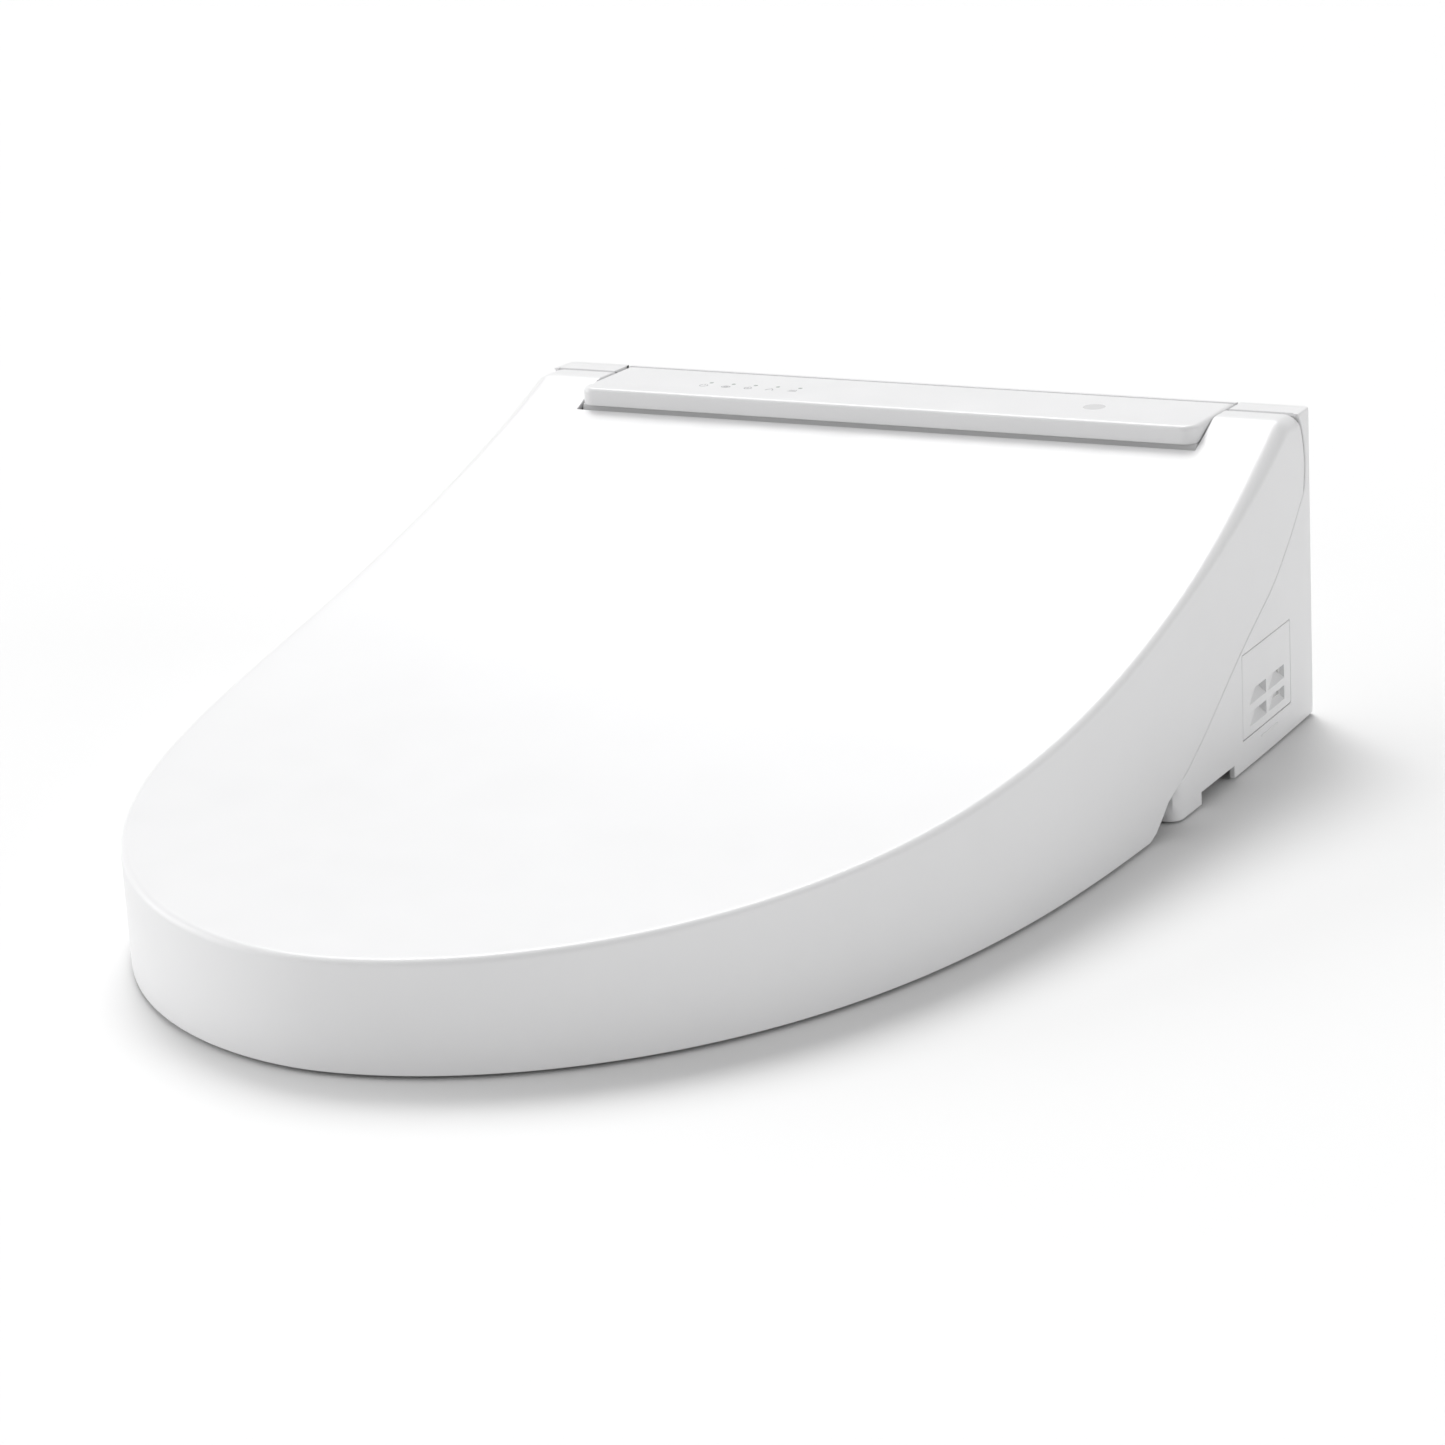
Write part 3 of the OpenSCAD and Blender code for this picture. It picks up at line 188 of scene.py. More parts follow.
def inward(loop, dist):
    """A counter-clockwise loop set in by dist, with mitred corners."""
    loop = np.asarray(loop, float)
    edge = np.roll(loop, -1, axis=0) - loop
    normal = np.stack([-edge[:, 1], edge[:, 0]], 1) / np.linalg.norm(edge, axis=1)[:, None]
    before = np.roll(normal, 1, axis=0)
    mitre = (normal + before) / (1 + np.sum(normal * before, 1))[:, None]
    return loop + mitre * np.reshape(dist, (-1, 1))


def inside(points, loop):
    """True for each point inside the loop."""
    x, y = points[:, 0], points[:, 1]
    hit = np.zeros(len(points), bool)
    for (x0, y0), (x1, y1) in zip(loop, np.roll(loop, -1, axis=0)):
        cross = (y0 > y) != (y1 > y)
        with np.errstate(divide="ignore", invalid="ignore"):
            hit ^= cross & (x < (x1 - x0) * (y - y0) / (y1 - y0) + x0)
    return hit


def filled(loops, step):
    """Triangles over the area inside loops[0] and outside the other loops, on a grid of step."""
    pts, edges = [], []
    for loop in loops:
        n0 = len(pts)
        pts += [tuple(p) for p in loop]
        edges += [(n0 + i, n0 + (i + 1) % len(loop)) for i in range(len(loop))]
    rim = np.array(pts)
    if step:
        lo, hi = rim.min(0), rim.max(0)
        gx = np.arange(lo[0] + step / 2, hi[0], step)
        gy = np.arange(lo[1] + step / 2, hi[1], step)
        g = np.array([(a, b) for a in gx for b in gy])
        if len(g):
            ok = inside(g, np.array(loops[0]))
            for hole in loops[1:]:
                ok &= ~inside(g, np.array(hole))
            near = np.array([np.min(np.sum((rim - p) ** 2, 1)) for p in g]) > (0.45 * step) ** 2
            pts += [tuple(p) for p in g[ok & near]]
    made, _, tris, *_ = delaunay_2d_cdt([Vector(p) for p in pts], edges, [], 1, 1e-7)
    made = np.array([tuple(v) for v in made])
    centre = np.array([made[list(t)].mean(0) for t in tris])
    ok = inside(centre, np.array(loops[0]))
    for hole in loops[1:]:
        ok &= ~inside(centre, np.array(hole))
    return made, [tuple(t) for t, k in zip(tris, ok) if k]


class Builder:
    """Collects points and faces of one piece."""

    def __init__(self):
        self.points = []
        self.faces = []

    def add(self, points, faces):
        n = len(self.points)
        self.points += [tuple(p) for p in points]
        self.faces += [tuple(n + i for i in f) for f in faces]

    def strip(self, rings, closed=True):
        """Quads between rings of the same length."""
        m = len(rings[0])
        cols = m + 1 if closed else m
        rings = [np.vstack([r, r[:1]]) if closed else r for r in rings]
        self.add(np.vstack(rings), grid_faces(len(rings), cols))


def slab(build, place, outline, thick, edge=0.8, back_edge=0.3, holes=(), step=0, hole_edge=0.4,
         segments=4):
    """A plate with rounded edges. place(points, depth) puts its own plane's points into space."""
    rims = [(np.asarray(outline, float), edge, back_edge, 1)]
    rims += [(np.asarray(h, float)[::-1], hole_edge, min(back_edge, hole_edge), -1) for h in holes]
    fronts, backs = [], []
    for loop, r, rb, side in rims:
        turn = [math.pi / 2 * k / segments for k in range(segments + 1)]
        path = [(r + 0.4, 0.0)] + [(r * (1 - math.sin(a)), r * (1 - math.cos(a))) for a in turn]
        path += [(rb * (1 - math.cos(a)), thick - rb * (1 - math.sin(a))) for a in turn]
        path += [(rb + 0.4, thick)]
        rings = [(inward(loop, d), depth) for d, depth in path]
        build.strip([place(p, depth) for p, depth in rings])
        fronts.append(rings[0][0])
        backs.append(rings[-1][0])
    pts, tris = filled(fronts, step)
    build.add(place(pts, 0.0), tris)
    pts, tris = filled(backs, step)
    build.add(place(pts, thick), [t[::-1] for t in tris])


def bevel(obj, width, weights=None, angle=30, segments=3):
    """Rounds a piece's edges: those steeper than angle, or by weights(mid point in mm, edge) when given."""
    mod = obj.modifiers.new("edges", "BEVEL")
    mod.width = width * MM
    mod.segments = segments
    mod.use_clamp_overlap = False
    mod.harden_normals = True
    if weights is None:
        mod.limit_method = "ANGLE"
        mod.angle_limit = math.radians(angle)
        return
    mod.limit_method = "WEIGHT"
    layer = obj.data.attributes.new("bevel_weight_edge", "FLOAT", "EDGE")
    co = np.array([v.co for v in obj.data.vertices]) / MM
    sharp = obj.data.attributes.get("sharp_edge")
    for e in obj.data.edges:
        if sharp and sharp.data[e.index].value:
            layer.data[e.index].value = weights(co[list(e.vertices)].mean(0))


# ---- materials ----


def new_material(name, colour, roughness, metallic=0.0, coat=0.0, coat_rough=0.1):
    mat = bpy.data.materials.new(name)
    mat.use_nodes = True
    shader = mat.node_tree.nodes["Principled BSDF"]
    shader.inputs["Base Color"].default_value = (*colour, 1)
    shader.inputs["Roughness"].default_value = roughness
    shader.inputs["Metallic"].default_value = metallic
    shader.inputs["Coat Weight"].default_value = coat
    shader.inputs["Coat Roughness"].default_value = coat_rough
    return mat, mat.node_tree, shader


def noise(tree, scale, detail=3.0, stretch=(1, 1, 1)):
    """A noise over the piece's own coordinates; scale in features per metre."""
    coords = tree.nodes.new("ShaderNodeTexCoord")
    mapping = tree.nodes.new("ShaderNodeMapping")
    mapping.inputs["Scale"].default_value = stretch
    tex = tree.nodes.new("ShaderNodeTexNoise")
    tex.inputs["Scale"].default_value = scale
    tex.inputs["Detail"].default_value = detail
    tree.links.new(coords.outputs["Object"], mapping.inputs["Vector"])
    tree.links.new(mapping.outputs["Vector"], tex.inputs["Vector"])
    return tex.outputs["Fac"]


def ramp(tree, value, stops):
    """Colours along a value; stops are (position, colour)."""
    node = tree.nodes.new("ShaderNodeValToRGB")
    while len(node.color_ramp.elements) < len(stops):
        node.color_ramp.elements.new(0.5)
    for element, (pos, colour) in zip(node.color_ramp.elements, stops):
        element.position = pos
        element.color = (*colour, 1)
    tree.links.new(value, node.inputs["Fac"])
    return node.outputs["Color"]


def spread(tree, value, low, high):
    """Maps a 0..1 value to low..high."""
    node = tree.nodes.new("ShaderNodeMapRange")
    node.inputs["To Min"].default_value = low
    node.inputs["To Max"].default_value = high
    tree.links.new(value, node.inputs["Value"])
    return node.outputs["Result"]


def bump(tree, shader, height, depth):
    """Relief from a height, depth in millimetres."""
    node = tree.nodes.new("ShaderNodeBump")
    node.inputs["Strength"].default_value = 1.0
    node.inputs["Distance"].default_value = depth * MM
    tree.links.new(height, node.inputs["Height"])
    tree.links.new(node.outputs["Normal"], shader.inputs["Normal"])


def plastic(name, colour, roughness, relief=0.02, grain=900, coat=0.0, change=0.02):
    """Moulded plastic: faint flow marks in the colour, uneven gloss and a fine skin."""
    mat, tree, shader = new_material(name, colour, roughness, coat=coat, coat_rough=0.06)
    shader.inputs["Specular IOR Level"].default_value = 0.28
    dark = [max(c - change, 0) for c in colour]
    light = [min(c + change, 1) for c in colour]
    tree.links.new(ramp(tree, noise(tree, 14), [(0.3, dark), (0.7, light)]), shader.inputs["Base Color"])
    tree.links.new(spread(tree, noise(tree, 60), roughness * 0.8, roughness * 1.2),
                   shader.inputs["Roughness"])
    bump(tree, shader, noise(tree, grain, 4), relief)
    return mat


def metal(name, colour, roughness, stretch=(1, 1, 1)):
    """Drawn or turned metal with fine lines along one way."""
    mat, tree, shader = new_material(name, colour, roughness, metallic=1.0)
    lines = noise(tree, 700, 4, stretch)
    tree.links.new(spread(tree, lines, roughness * 0.7, roughness * 1.4), shader.inputs["Roughness"])
    dark = [c * 0.85 for c in colour]
    tree.links.new(ramp(tree, noise(tree, 90), [(0.35, dark), (0.65, colour)]), shader.inputs["Base Color"])
    bump(tree, shader, lines, 0.01)
    return mat


def granules(name, colour, scale, depth):
    """Packed grains, as in a filter block."""
    mat, tree, shader = new_material(name, colour, 0.85)
    coords = tree.nodes.new("ShaderNodeTexCoord")
    cells = tree.nodes.new("ShaderNodeTexVoronoi")
    cells.inputs["Scale"].default_value = scale
    tree.links.new(coords.outputs["Object"], cells.inputs["Vector"])
    light = [c * 2.2 + 0.02 for c in colour]
    tree.links.new(ramp(tree, cells.outputs["Distance"], [(0.0, light), (0.6, colour)]),
                   shader.inputs["Base Color"])
    bump(tree, shader, cells.outputs["Distance"], depth)
    return mat


def board_green(name):
    """Circuit board: solder mask over a net of tracks."""
    mat, tree, shader = new_material(name, (0.02, 0.15, 0.06), 0.35, coat=0.4)
    coords = tree.nodes.new("ShaderNodeTexCoord")
    tracks = tree.nodes.new("ShaderNodeTexBrick")
    tracks.inputs["Scale"].default_value = 220
    tracks.inputs["Mortar Size"].default_value = 0.03
    tree.links.new(coords.outputs["Object"], tracks.inputs["Vector"])
    greens = [(0.2, (0.015, 0.11, 0.045)), (0.8, (0.05, 0.26, 0.11))]
    tree.links.new(ramp(tree, tracks.outputs["Fac"], greens), shader.inputs["Base Color"])
    bump(tree, shader, tracks.outputs["Fac"], 0.03)
    return mat


GLOSS = plastic("white_gloss", (0.71, 0.71, 0.715), 0.38, 0.012, 1400, coat=0.05, change=0.006)
SEAT = plastic("seat_plastic", (0.70, 0.70, 0.70), 0.4, 0.005, 1400, coat=0.03, change=0.006)
MATTE = plastic("white_matte", (0.66, 0.66, 0.655), 0.5, 0.03, 900)
GREY = plastic("grey_plastic", (0.42, 0.43, 0.44), 0.45, 0.03, 900)
IVORY = plastic("ivory_plastic", (0.70, 0.66, 0.55), 0.35, 0.02, 900)
WAND = plastic("wand_plastic", (0.68, 0.69, 0.70), 0.18, 0.01, 1400, coat=0.3)
RUBBER_GREY = plastic("rubber_grey", (0.20, 0.20, 0.205), 0.75, 0.05, 1200)
RUBBER_BLACK = plastic("rubber_black", (0.03, 0.03, 0.03), 0.7, 0.05, 1200, change=0.01)
DARK = plastic("dark_plastic", (0.045, 0.047, 0.05), 0.4, 0.02, 900, change=0.012)
SMOKED = plastic("smoked_window", (0.70, 0.70, 0.705), 0.12, 0.004, 900, coat=0.4, change=0.006)
LENS = plastic("lens_green", (0.40, 0.46, 0.42), 0.12, 0.004, 900, coat=0.5, change=0.03)
HOSE = plastic("hose_blue", (0.35, 0.48, 0.62), 0.3, 0.01, 900)
CABLE = plastic("cable_red", (0.5, 0.06, 0.05), 0.45, 0.02, 900)
STEEL = metal("steel", (0.62, 0.62, 0.63), 0.3, (6, 1, 1))
MOTOR = metal("motor_steel", (0.5, 0.5, 0.51), 0.38, (1, 6, 1))
FOIL = metal("heater_foil", (0.72, 0.40, 0.16), 0.35)
NICHROME = metal("nichrome", (0.45, 0.42, 0.38), 0.45)
CARBON = granules("carbon", (0.012, 0.012, 0.013), 900, 0.4)
BOARD = board_green("board_green")

BY_SLOT = {
    "white_gloss": GLOSS, "seat_plastic": SEAT, "white_matte": MATTE, "grey_plastic": GREY,
    "ivory_plastic": IVORY, "wand_plastic": WAND, "rubber_grey": RUBBER_GREY,
    "rubber_black": RUBBER_BLACK, "steel": STEEL, "motor_steel": MOTOR, "dark_plastic": DARK,
    "smoked_window": SMOKED, "lens_green": LENS, "carbon": CARBON, "heater_foil": FOIL,
    "nichrome": NICHROME, "board_green": BOARD, "hose_blue": HOSE, "cable_red": CABLE,
}


def slot_of_nodes():
    """Material slot of every CAD node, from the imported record."""
    return {part["node"]: part["material_slot"] for part in frame["record"]["subparts"]}


# ---- camera, light and floor ----
TARGET = Vector((0, -0.210, 0.060))
VIEW_AZIMUTH = math.radians(-29.549)
VIEW_ELEVATION = math.radians(16.878)
VIEW_ROLL = math.radians(-3.298)
VIEW_DISTANCE = 1.72847
VIEW_OFFSET = (0.03022, -0.00473)


def add_camera():
    az, el, roll = VIEW_AZIMUTH, VIEW_ELEVATION, VIEW_ROLL
    forward = Vector((math.sin(az) * math.cos(el), math.cos(az) * math.cos(el), -math.sin(el)))
    level = Vector((math.cos(az), -math.sin(az), 0))
    upright = level.cross(forward)
    right = math.cos(roll) * level + math.sin(roll) * upright
    up = math.cos(roll) * upright - math.sin(roll) * level
    data = bpy.data.cameras.new("camera")
    data.lens = 104.845
    data.sensor_width = 36
    cam = bpy.data.objects.new("camera", data)
    at = TARGET + VIEW_OFFSET[0] * right + VIEW_OFFSET[1] * up - VIEW_DISTANCE * forward
    cam.matrix_world = Matrix((
        (right.x, up.x, -forward.x, at.x), (right.y, up.y, -forward.y, at.y),
        (right.z, up.z, -forward.z, at.z), (0, 0, 0, 1)))
    bpy.context.scene.collection.objects.link(cam)
    bpy.context.scene.camera = cam


def add_sun(name, strength, spread_deg, azimuth, elevation):
    """A soft sky light from a compass direction: azimuth 0 is +Y, 90 is +X."""
    data = bpy.data.lights.new(name, "SUN")
    data.energy = strength
    data.angle = math.radians(spread_deg)
    sun = bpy.data.objects.new(name, data)
    az, el = math.radians(azimuth), math.radians(elevation)
    towards = Vector((math.sin(az) * math.cos(el), math.cos(az) * math.cos(el), math.sin(el)))
    sun.rotation_euler = towards.to_track_quat("Z", "Y").to_euler()
    bpy.context.scene.collection.objects.link(sun)


def add_floor():
    size = 12.0
    mesh = bpy.data.meshes.new("floor")
    mesh.from_pydata([(-size, -size, 0), (size, -size, 0), (size, size, 0), (-size, size, 0)], [],
                     [(0, 1, 2, 3)])
    floor = bpy.data.objects.new("floor", mesh)
    floor.location.z = -0.0002
    mat, tree, shader = new_material("floor", (0.78, 0.78, 0.78), 0.9)
    shader.inputs["Specular IOR Level"].default_value = 0.1
    mesh.materials.append(mat)
    bpy.context.scene.collection.objects.link(floor)


def add_world(strength):
    world = bpy.data.worlds.new("studio")
    world.use_nodes = True
    world.node_tree.nodes["Background"].inputs["Color"].default_value = (1, 1, 1, 1)
    world.node_tree.nodes["Background"].inputs["Strength"].default_value = strength
    bpy.context.scene.world = world


bpy.context.scene.view_settings.view_transform = "Standard"
add_camera()
add_floor()
add_world(0.49)
add_sun("key_rear", 1.75, 30, -32, 52)
add_sun("key_left", 0.62, 25, -50, 60)
add_sun("left_fill", 1.6, 45, -100, 12)
add_sun("front_fill", 0.5, 40, -150, 8)
add_sun("right_fill", 0.9, 40, 90, 8)

# ---- lid ----
GAP = 0.35
arm_inner = core_hw + 0.6
cut_r = hinge_y - panel_lo[1] + 0.8
SIDE_ROWS, CREASE_ROWS, ARM_ROWS, MIDDLE_ROWS = 14, 8, 8, 14
FRONT_COLS, SIDE_COLS, CUT_COLS, END_COLS = 90, 18, 8, 12
BEND_Y = -20.0
JOINT_END = (rear_y - 9.6, 104.06)


def crease_radius(y):
    """The crease opens out towards the rear."""
    t = np.clip((y + 120) / 150, 0, 1)
    return 3.0 + 3.5 * t * t * (3 - 2 * t)


def lid_stops(inset, last_y):
    """Where the lid's columns stand: (part, angle or place), from the front tip to the rear."""
    cut_y = hinge_y - cut_r
    for _ in range(20):
        cut_y = hinge_y - math.sqrt(cut_r**2 - (float(lid_top(cut_y)) - inset - hinge_z) ** 2)
    cut = (cut_y - BEND_Y) / (last_y - BEND_Y)
    stops = [("front", math.pi / 2 * (1 - i / FRONT_COLS)) for i in range(FRONT_COLS)]
    stops += [("side", widest_y + (BEND_Y - widest_y) * i / SIDE_COLS) for i in range(SIDE_COLS)]
    stops += [("end", cut * i / CUT_COLS) for i in range(CUT_COLS)]
    return stops + [("end", cut + (1 - cut) * i / END_COLS) for i in range(END_COLS + 1)]


def lid_skin(inset):
    """Grid of points over the lid's right half, set in by inset: rows climb, columns go rearwards."""
    turns = [math.pi / 2 * k / CREASE_ROWS for k in range(1, CREASE_ROWS + 1)]
    r_end = max(float(crease_radius(rear_y)) - inset, 1.0)
    last_head = top_z - inset - r_end
    head_y = float(arc_y(last_head))
    end_y = [float(arc_y(top_z - inset - r_end * (1 - math.sin(a)))) for a in turns]
    bend_x = float(half_outline(BEND_Y, inset)) - max(float(crease_radius(BEND_Y)) - inset, 1.0)
    grid = []
    for part, value in lid_stops(inset, end_y[-1]):
        col = []
        y_foot = y_head = value
        normal = np.array([1.0, 0.0])
        if part == "front":
            reach = widest_y - front_y - inset
            y_foot = y_head = widest_y - math.sin(value) * reach
            w = half_w - inset
            ratio = float(half_outline(y_head, inset)) / w
            normal = np.array([1.85 / w * ratio**0.85, -2.91 / reach * math.sin(value) ** 1.91])
            normal = normal / np.linalg.norm(normal)
        crease_y = [y_head] * len(turns)
        if part == "end":
            y_foot = BEND_Y + value * (JOINT_END[0] - BEND_Y)
            y_head = BEND_Y + value * (head_y - BEND_Y)
            crease_y = [BEND_Y + value * (e - BEND_Y) for e in end_y]
        r = max(float(crease_radius(y_head)) - inset, 1.0)
        z_foot = float(joint_z(y_foot))
        z_head = float(lid_top(y_head)) - inset - r
        for k in range(SIDE_ROWS + 1):
            s = k / SIDE_ROWS
            y = y_foot + s * (y_head - y_foot)
            if part == "end":
                on_arc = float(arc_y(JOINT_END[1] + s * (last_head - JOINT_END[1])))
                y += value**2 * (on_arc - JOINT_END[0] - s * (head_y - JOINT_END[0]))
            col.append((float(half_outline(y, inset)), y, z_foot + s * (z_head - z_foot)))
        for a, y in zip(turns, crease_y):
            back = r * (1 - math.cos(a))
            x = float(half_outline(y, inset)) - normal[0] * back
            y = y - normal[1] * back
            col.append((x, y, float(lid_top(y)) - inset - r * (1 - math.sin(a))))
        qx, qy, qz = col[-1]
        split = arm_inner if part == "end" else qx * arm_inner / bend_x
        col += [(qx + (split - qx) * k / ARM_ROWS, qy, qz) for k in range(1, ARM_ROWS + 1)]
        col += [(split * (1 - k / MIDDLE_ROWS), qy, qz) for k in range(1, MIDDLE_ROWS + 1)]
        grid.append(col)
    return np.array(grid)


def make_lid():
    outer, inner = lid_skin(0), lid_skin(lid_wall)
    cols, rows = outer.shape[:2]
    cut_col = FRONT_COLS + SIDE_COLS + CUT_COLS
    split_row = SIDE_ROWS + CREASE_ROWS + ARM_ROWS
    right = grid_faces(cols, rows, keep=lambda c, r: c < cut_col or r < split_row)
    n = cols * rows
    flat = outer.reshape(-1, 3)
    twin = [i if flat[i, 0] < 1e-6 else n + i for i in range(n)]
    faces = right + [tuple(twin[i] for i in reversed(f)) for f in right]
    flip = np.array([-1, 1, 1])
    both = [np.vstack([s.reshape(-1, 3), s.reshape(-1, 3) * flip]) for s in (outer, inner)]
    points, faces = shell(both[0], both[1], faces)
    lid = new_piece("lid_shell_finish", "lid", points, faces, GLOSS, ["lid_shell"])

    def weight(mid):
        rear_end = mid[1] > 37 and mid[2] > 106 and abs(mid[0]) > half_w - lid_wall - 6
        return 1.0 if rear_end else 0.25

    bevel(lid, 2.0, weight)
    return lid


make_lid()

# ---- side covers ----
COVER_WALL = 2.5
SINK = 0.03
FOOT_Z = side_lo[2]
FRONT_R, REAR_R = 6.0, 2.5
NOTCH = (rear_y - 140, rear_y - 102, 6.3)
side_front = side_lo[1]
side_inner = side_lo[0]


def place_side(sign):
    """Maps (along, z) on the side cover's skin into space: along is y on the side, and goes round
    the corners on to the front and rear faces."""
    front_c = side_front + FRONT_R
    rear_c = rear_y - REAR_R
    quarter = math.pi / 2

    def place(points, depth):
        made = []
        for a, z in points:
            if a < front_c or a > rear_c:
                at_front = a < front_c
                r, yc = (FRONT_R, front_c) if at_front else (REAR_R, rear_c)
                past = abs(a - yc)
                xc = float(half_outline(yc)) - r
                turn = min(past / r, quarter)
                run = max(past - r * quarter, 0)
                x = xc + (r - depth) * math.cos(turn) - run
                y = yc + (r - depth) * math.sin(turn) * (-1 if at_front else 1)
            else:
                x, y = float(half_outline(a)) - depth, a
            made.append((sign * x, y, z))
        return np.array(made)

    front_run = float(half_outline(front_c)) - FRONT_R - side_inner
    rear_run = float(half_outline(rear_c)) - REAR_R - side_inner
    first = front_c - FRONT_R * quarter - front_run
    last = rear_c + REAR_R * quarter + rear_run
    return place, first, last


def side_outline(first, last):
    """Edge of a side cover in (along, z), counter-clockwise from its front foot."""
    y0, y1, z1 = NOTCH
    joint = [(y, float(joint_z(y)) - GAP) for y in np.linspace(side_front + 7, JOINT_END[0] + 0.3, 60)]
    r = ARC_R + 0.7
    arc = [(ARC_C[0] + r * math.cos(a), ARC_C[1] + r * math.sin(a))
           for a in np.linspace(ARC_LOW, math.asin(ARC_DROP / r), 30)[1:]]
    flat = [(a, FOOT_Z) for a in np.linspace(first, y0, 24)]
    rear = [(a, FOOT_Z) for a in np.linspace(y1, last, 60)]
    top = [(a, top_z) for a in np.linspace(last, arc[-1][0], 24)]
    front = [(a, joint[0][1]) for a in np.linspace(joint[0][0], first, 20)[1:]]
    return flat + [(y0, z1), (y1, z1)] + rear + top[:-1] + arc[::-1] + joint[::-1] + front


def rectangle(y0, y1, z0, z1, r=0.8):
    """A rounded rectangle, counter-clockwise."""
    pts = []
    centres = ((y1 - r, z0 + r, -90), (y1 - r, z1 - r, 0), (y0 + r, z1 - r, 90), (y0 + r, z0 + r, 180))
    for cy, cz, first in centres:
        turns = [math.radians(first + 30 * k) for k in range(4)]
        pts += [(cy + r * math.cos(a), cz + r * math.sin(a)) for a in turns]
    return pts


BUTTON_MID_Y = rear_y - 57.5
BUTTON_STEP_Z = 6.7


def button_outline(grow):
    """The L-shaped release button, grown by grow."""
    y0, y1, z1 = button_lo[1] - grow, button_hi[1] + grow, button_hi[2] + grow
    middle, foot = BUTTON_MID_Y + grow, FOOT_Z + 0.3
    return [(y0, foot), (middle, foot), (middle, BUTTON_STEP_Z - grow),
            (y1, BUTTON_STEP_Z - grow), (y1, z1 - 2.0), (y1 - 0.6, z1 - 0.6), (y1 - 2.0, z1), (y0, z1)]


def ledge(build, sign, outline_pts):
    """Rebate under the lid's edge: runs inwards from the cover's upper edge."""
    top = np.array(outline_pts)
    edge = np.gradient(top, axis=0)
    normal = np.stack([edge[:, 1], -edge[:, 0]], 1) / np.linalg.norm(edge, axis=1)[:, None]
    low = top + normal * 2.0
    loop = np.vstack([top, low[::-1]])
    rings = []
    for k in range(2):
        rings.append(np.array([
            (sign * (side_inner if k else float(half_outline(y)) - COVER_WALL), y, z) for y, z in loop]))
    build.strip(rings)
    n = len(top)
    for ring in rings:
        build.add(ring, [(i, i + 1, 2 * n - 2 - i, 2 * n - 1 - i) for i in range(n - 1)])


def make_side(sign, node, holes):
    place, first, last = place_side(sign)
    build = Builder()
    outline_pts = side_outline(first, last)
    slab(build, place, outline_pts, COVER_WALL, 0.7, 0.0, holes=holes, step=5)
    joint = [(y, float(joint_z(y)) - GAP) for y in np.linspace(side_front + 7, JOINT_END[0] + 0.3, 40)]
    r = ARC_R + 0.7
    arc = [(ARC_C[0] + r * math.cos(a), ARC_C[1] + r * math.sin(a))
           for a in np.linspace(ARC_LOW, math.asin(ARC_DROP / r), 24)[1:-1]]
    flat = [(y, top_z - SINK) for y in np.linspace(arc[-1][0] + 0.6, rear_y, 12)]
    ledge(build, sign, joint + arc + flat)
    return new_piece(node + "_finish", "housing", build.points, build.faces, GLOSS, [node])


VENT_HOLE = rectangle(vent_lo[1] - 0.45, vent_hi[1] + 0.25, vent_lo[2] - 0.4, vent_hi[2] + 0.25, 1.0)
make_side(1, "side_cover_right", [VENT_HOLE])
make_side(-1, "side_cover_left", [])

# ---- deodoriser vent and release button, on the right side ----
LOUVRE_L, LOUVRE_H, LOUVRE_D = 21.0, 6.2, 4.4
LOUVRE_Y = [vent_lo[1] + 7.5, vent_lo[1] + 30.5]
LOUVRE_Z = [vent_lo[2] + 4, vent_lo[2] + 13.6]


def on_side(points, depth):
    """Puts (y, z) points on the right side's surface, set in by depth."""
    return np.array([(float(half_outline(y)) - depth, y, z) for y, z in points])


def louvre(build, y, z):
    """Scoop that deepens towards the rear, with its mouth in the cover's face."""
    mouth = rectangle(y, y + LOUVRE_L, z, z + LOUVRE_H, 0.25)
    ring = np.array(mouth)
    apex = np.array([y + LOUVRE_L - 0.1, z + 0.6 * LOUVRE_H])
    steps = [0, 0.06, 0.3, 0.6, 0.85, 0.99]
    rings = [on_side(ring + (apex - ring) * t, LOUVRE_D * t if t else 0.0) for t in steps]
    build.strip(rings)
    return mouth


def make_vent():
    build = Builder()
    mouths = [louvre(build, y, z) for y in LOUVRE_Y for z in LOUVRE_Z]
    outline = np.array(rectangle(vent_lo[1], vent_hi[1], vent_lo[2], vent_hi[2], 1.0))
    dense = np.vstack([np.linspace(p, q, 12, endpoint=False) if np.linalg.norm(q - p) > 5 else [p]
                       for p, q in zip(outline, np.roll(outline, -1, axis=0))])
    r, thick = 0.5, 2.2
    turn = [math.pi / 2 * k / 4 for k in range(5)]
    path = [(r + 0.4, 0.0)] + [(r * (1 - math.sin(a)), 0.05 + r * (1 - math.cos(a))) for a in turn]
    path += [(0.0, thick), (0.5, thick)]
    rings = [(inward(dense, d), depth) for d, depth in path]
    build.strip([on_side(p, depth) for p, depth in rings])
    pts, tris = filled([rings[0][0]] + [np.array(m) for m in mouths], 4)
    build.add(on_side(pts, 0.0), tris)
    return new_piece("vent_cover_finish", "cartridge", build.points, build.faces, GLOSS,
                     ["vent_cover"], sharp=25)


def make_button():
    build = Builder()
    slab(build, lambda p, d: on_side(p, d + 0.1), button_outline(0), 9.0, 0.45, 0.2, step=4)
    grip = rectangle(button_lo[1] + 4, button_hi[1] - 4, button_hi[2] - 2.6, button_hi[2] - 1.7, 0.4)
    slab(build, lambda p, d: on_side(p, d - 0.25), grip, 0.6, 0.2, 0.0)
    return new_piece("release_button_finish", "button", build.points, build.faces, GLOSS,
                     ["release_button"])


make_vent()
make_button()

